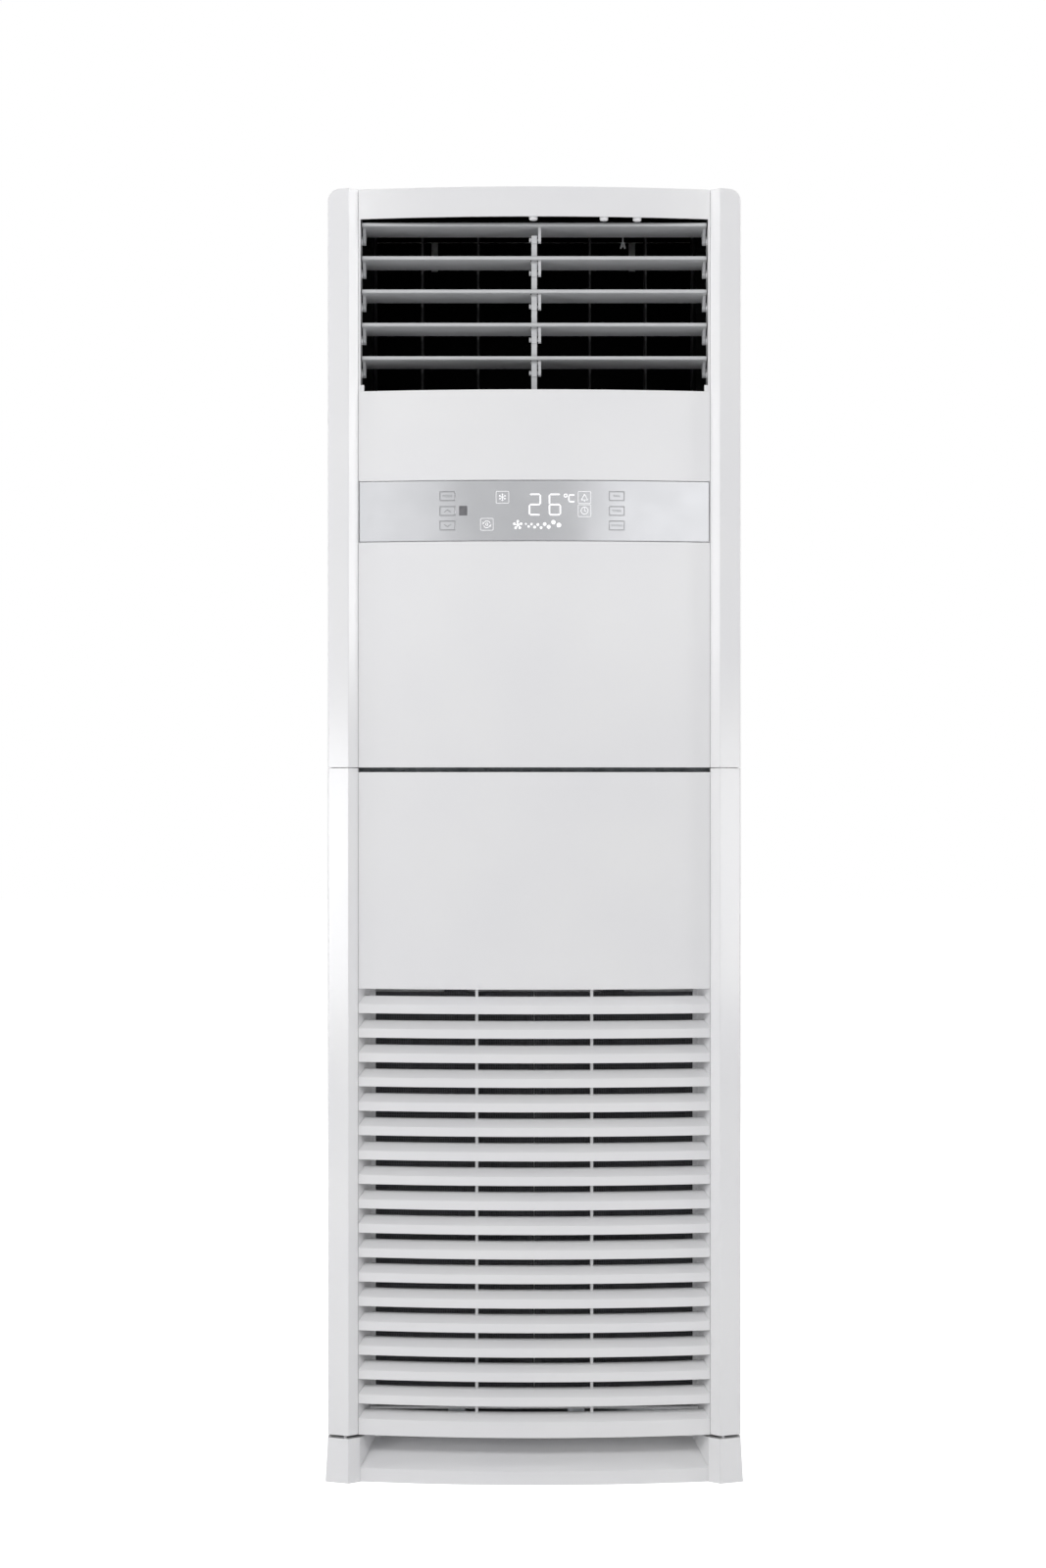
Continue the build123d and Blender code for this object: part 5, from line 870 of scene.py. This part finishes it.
def top_foam():
    """Foam under the sheet of the top cover."""
    front, back = TOP_FOAM_Y
    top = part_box("top_cover")[1][2] / MM - SHEET - FOAM_CLEAR
    sheet = foam_sheet((-TOP_FOAM_X, front, top - FOAM_T), (TOP_FOAM_X, back, top))
    settled(sheet, "top_foam", "cabinet", "black_foam")


def side_foam():
    """Foam on the inside of both side panels."""
    front, back = SIDE_FOAM_Y
    sheet = foam_sheet((-SIDE_FOAM_T / 2, front, FOAM_FOOT), (SIDE_FOAM_T / 2, back, SIDE_FOAM_TOP))
    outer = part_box("right_side_panel")[1][0] / MM - SHEET - FOAM_CLEAR
    middle = (outer - SIDE_FOAM_T / 2) * MM
    for name, copy in zip(("right", "left"), repeated(sheet, [(middle, 0.0, 0.0), (-middle, 0.0, 0.0)])):
        settled(copy, f"side_foam_{name}", "cabinet", "black_foam")


# ---------------------------------------------------------------- rear
SCREW_HEAD_R = 4.0
SCREW_HEAD_H = 2.0
SCREW_HEAD_ROUND = 1.1
SCREW_ROWS = 6
RECESS_SIZE = (4.6, 2.2, 0.9)
RECESS_TURN = 0.3        # radians; how far the crosses stand turned

BEAD_X = (-110.0, 0.0, 110.0)
BEAD_Z = 1000.0          # its middle
BEAD_SIZE = (16.0, 1.2, 1200.0)
BEAD_SUNK = 0.2          # the part of its thickness that is in the panel
BEAD_ROUND = 0.9


def screw_head(back_y):
    """Pan-head screw with a cross recess, on the y axis; `back_y` is the top of the head in metres."""
    bpy.ops.mesh.primitive_cylinder_add(vertices=32, radius=SCREW_HEAD_R * MM, depth=SCREW_HEAD_H * MM,
                                        location=(0.0, back_y - SCREW_HEAD_H / 2 * MM, 0.0),
                                        rotation=(-math.pi / 2, 0.0, 0.0))
    head = joined([bpy.context.object])
    rim = back_y - 0.1 * MM
    round_edges(head, lambda a, b: a.y > rim and b.y > rim, SCREW_HEAD_ROUND, 4)
    slot_size = [side * MM for side in RECESS_SIZE]
    for turn in (RECESS_TURN, RECESS_TURN + math.pi / 2):
        cutter = block((0.0, back_y, 0.0), slot_size, (0.0, turn, 0.0))
        apply_modifier(head, "BOOLEAN", operation="DIFFERENCE", object=cutter, solver="EXACT")
        bpy.data.objects.remove(cutter)
    smooth_to(head, 35)
    return head


def rear_screws():
    """Detailed heads for the plain ones of the rear panel, in two columns."""
    low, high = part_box("panel_screws")
    column_x = high[0] - SCREW_HEAD_R * MM
    foot, crown = low[2] + SCREW_HEAD_R * MM, high[2] - SCREW_HEAD_R * MM
    heights = [foot + row * (crown - foot) / (SCREW_ROWS - 1) for row in range(SCREW_ROWS)]
    moves = [(side * column_x, 0.0, height) for side in (-1, 1) for height in heights]
    heads = joined(repeated(screw_head(high[1]), moves))
    settled(heads, "rear_screw_heads", "cabinet", "screw_steel")
    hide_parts("panel_screws")


def rear_beads():
    """Stiffening beads pressed into the rear panel."""
    width, thickness, length = BEAD_SIZE
    panel_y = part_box("rear_panel")[1][1] / MM
    bead_y = panel_y - BEAD_SUNK + thickness / 2
    bead = block((0.0, bead_y * MM, BEAD_Z * MM), (width * MM, thickness * MM, length * MM))
    round_edges(bead, lambda a, b: abs(a.y - b.y) > thickness / 2 * MM, width / 2 - 0.1, 8)
    crest = (bead_y + thickness / 4) * MM
    round_edges(bead, lambda a, b: a.y > crest and b.y > crest, BEAD_ROUND, 3)
    smooth_to(bead, 50)
    for number, copy in enumerate(repeated(bead, [(x * MM, 0.0, 0.0) for x in BEAD_X]), 1):
        settled(copy, f"rear_bead_{number}", "cabinet", "side_steel")


# ---------------------------------------------------------------- floor
FLOOR_SIZE = 40.0        # metres
FLOOR_GLOW = 0.9


def pale_floor():
    """White floor; it is as bright as the backdrop to the camera and a plain matt floor to the object."""
    bpy.ops.object.select_all(action="DESELECT")
    bpy.ops.mesh.primitive_plane_add(size=FLOOR_SIZE)
    floor = bpy.context.object
    floor.name = "floor"
    material, tree, shader, place = start_material("white_studio_floor", "EEEEEE", 0.7)
    cloud = add_node(tree, "ShaderNodeTexNoise", {"Vector": place, "Scale": repeats(900.0), "Detail": 1.0})
    colour = add_node(tree, "ShaderNodeValToRGB", {"Fac": cloud.outputs["Fac"]},
                      stops=[(0.3, "ECECEC"), (0.7, "F1F1F1")])
    set_inputs(tree, shader, {"Base Color": colour.outputs["Color"]})
    glow = add_node(tree, "ShaderNodeEmission", {"Strength": FLOOR_GLOW})
    lit = add_node(tree, "ShaderNodeAddShader", {0: shader.outputs[0], 1: glow.outputs[0]})
    path = add_node(tree, "ShaderNodeLightPath")
    both = add_node(tree, "ShaderNodeMixShader", {0: path.outputs["Is Camera Ray"], 1: shader.outputs[0],
                                                  2: lit.outputs[0]})
    set_inputs(tree, tree.nodes["Material Output"], {"Surface": both.outputs[0]})
    floor.data.materials.append(material)


# ---------------------------------------------------------------- assembly
finishes = {
    "shell_gloss": gloss_abs(),
    "louvre_plastic": satin_abs(),
    "lens_mirror": silvered_acrylic(),
    "black_plastic": black_polypropylene(),
    "side_steel": powder_coat(),
    "galvanised": galvanised_sheet(),
    "screw_steel": bright_zinc(),
    "fin_aluminium": fin_stock(),
    "copper": drawn_copper(),
    "brass": turned_brass(),
    "foot_rubber": moulded_rubber(),
    "circuit_board": solder_mask(),
    "filter_plastic": filter_net(),
    "fan_plastic": glass_filled_nylon(),
    "motor_paint": motor_enamel(),
    "pan_plastic": bead_foam(),
    "display_light": display_light(),
    "legend_ink": legend_ink(),
    "smoked_acrylic": smoked_acrylic(),
    "black_foam": black_foam(),
}
finishes["key_mirror"] = finishes["lens_mirror"]

set_camera()
set_world()
set_lights()
dress_frame()
display_figures()
receiver_window()
key_legends()
outlet_stops()
sensor_clip()
duct_seals()
rear_foam()
top_foam()
side_foam()
rear_screws()
rear_beads()
pale_floor()
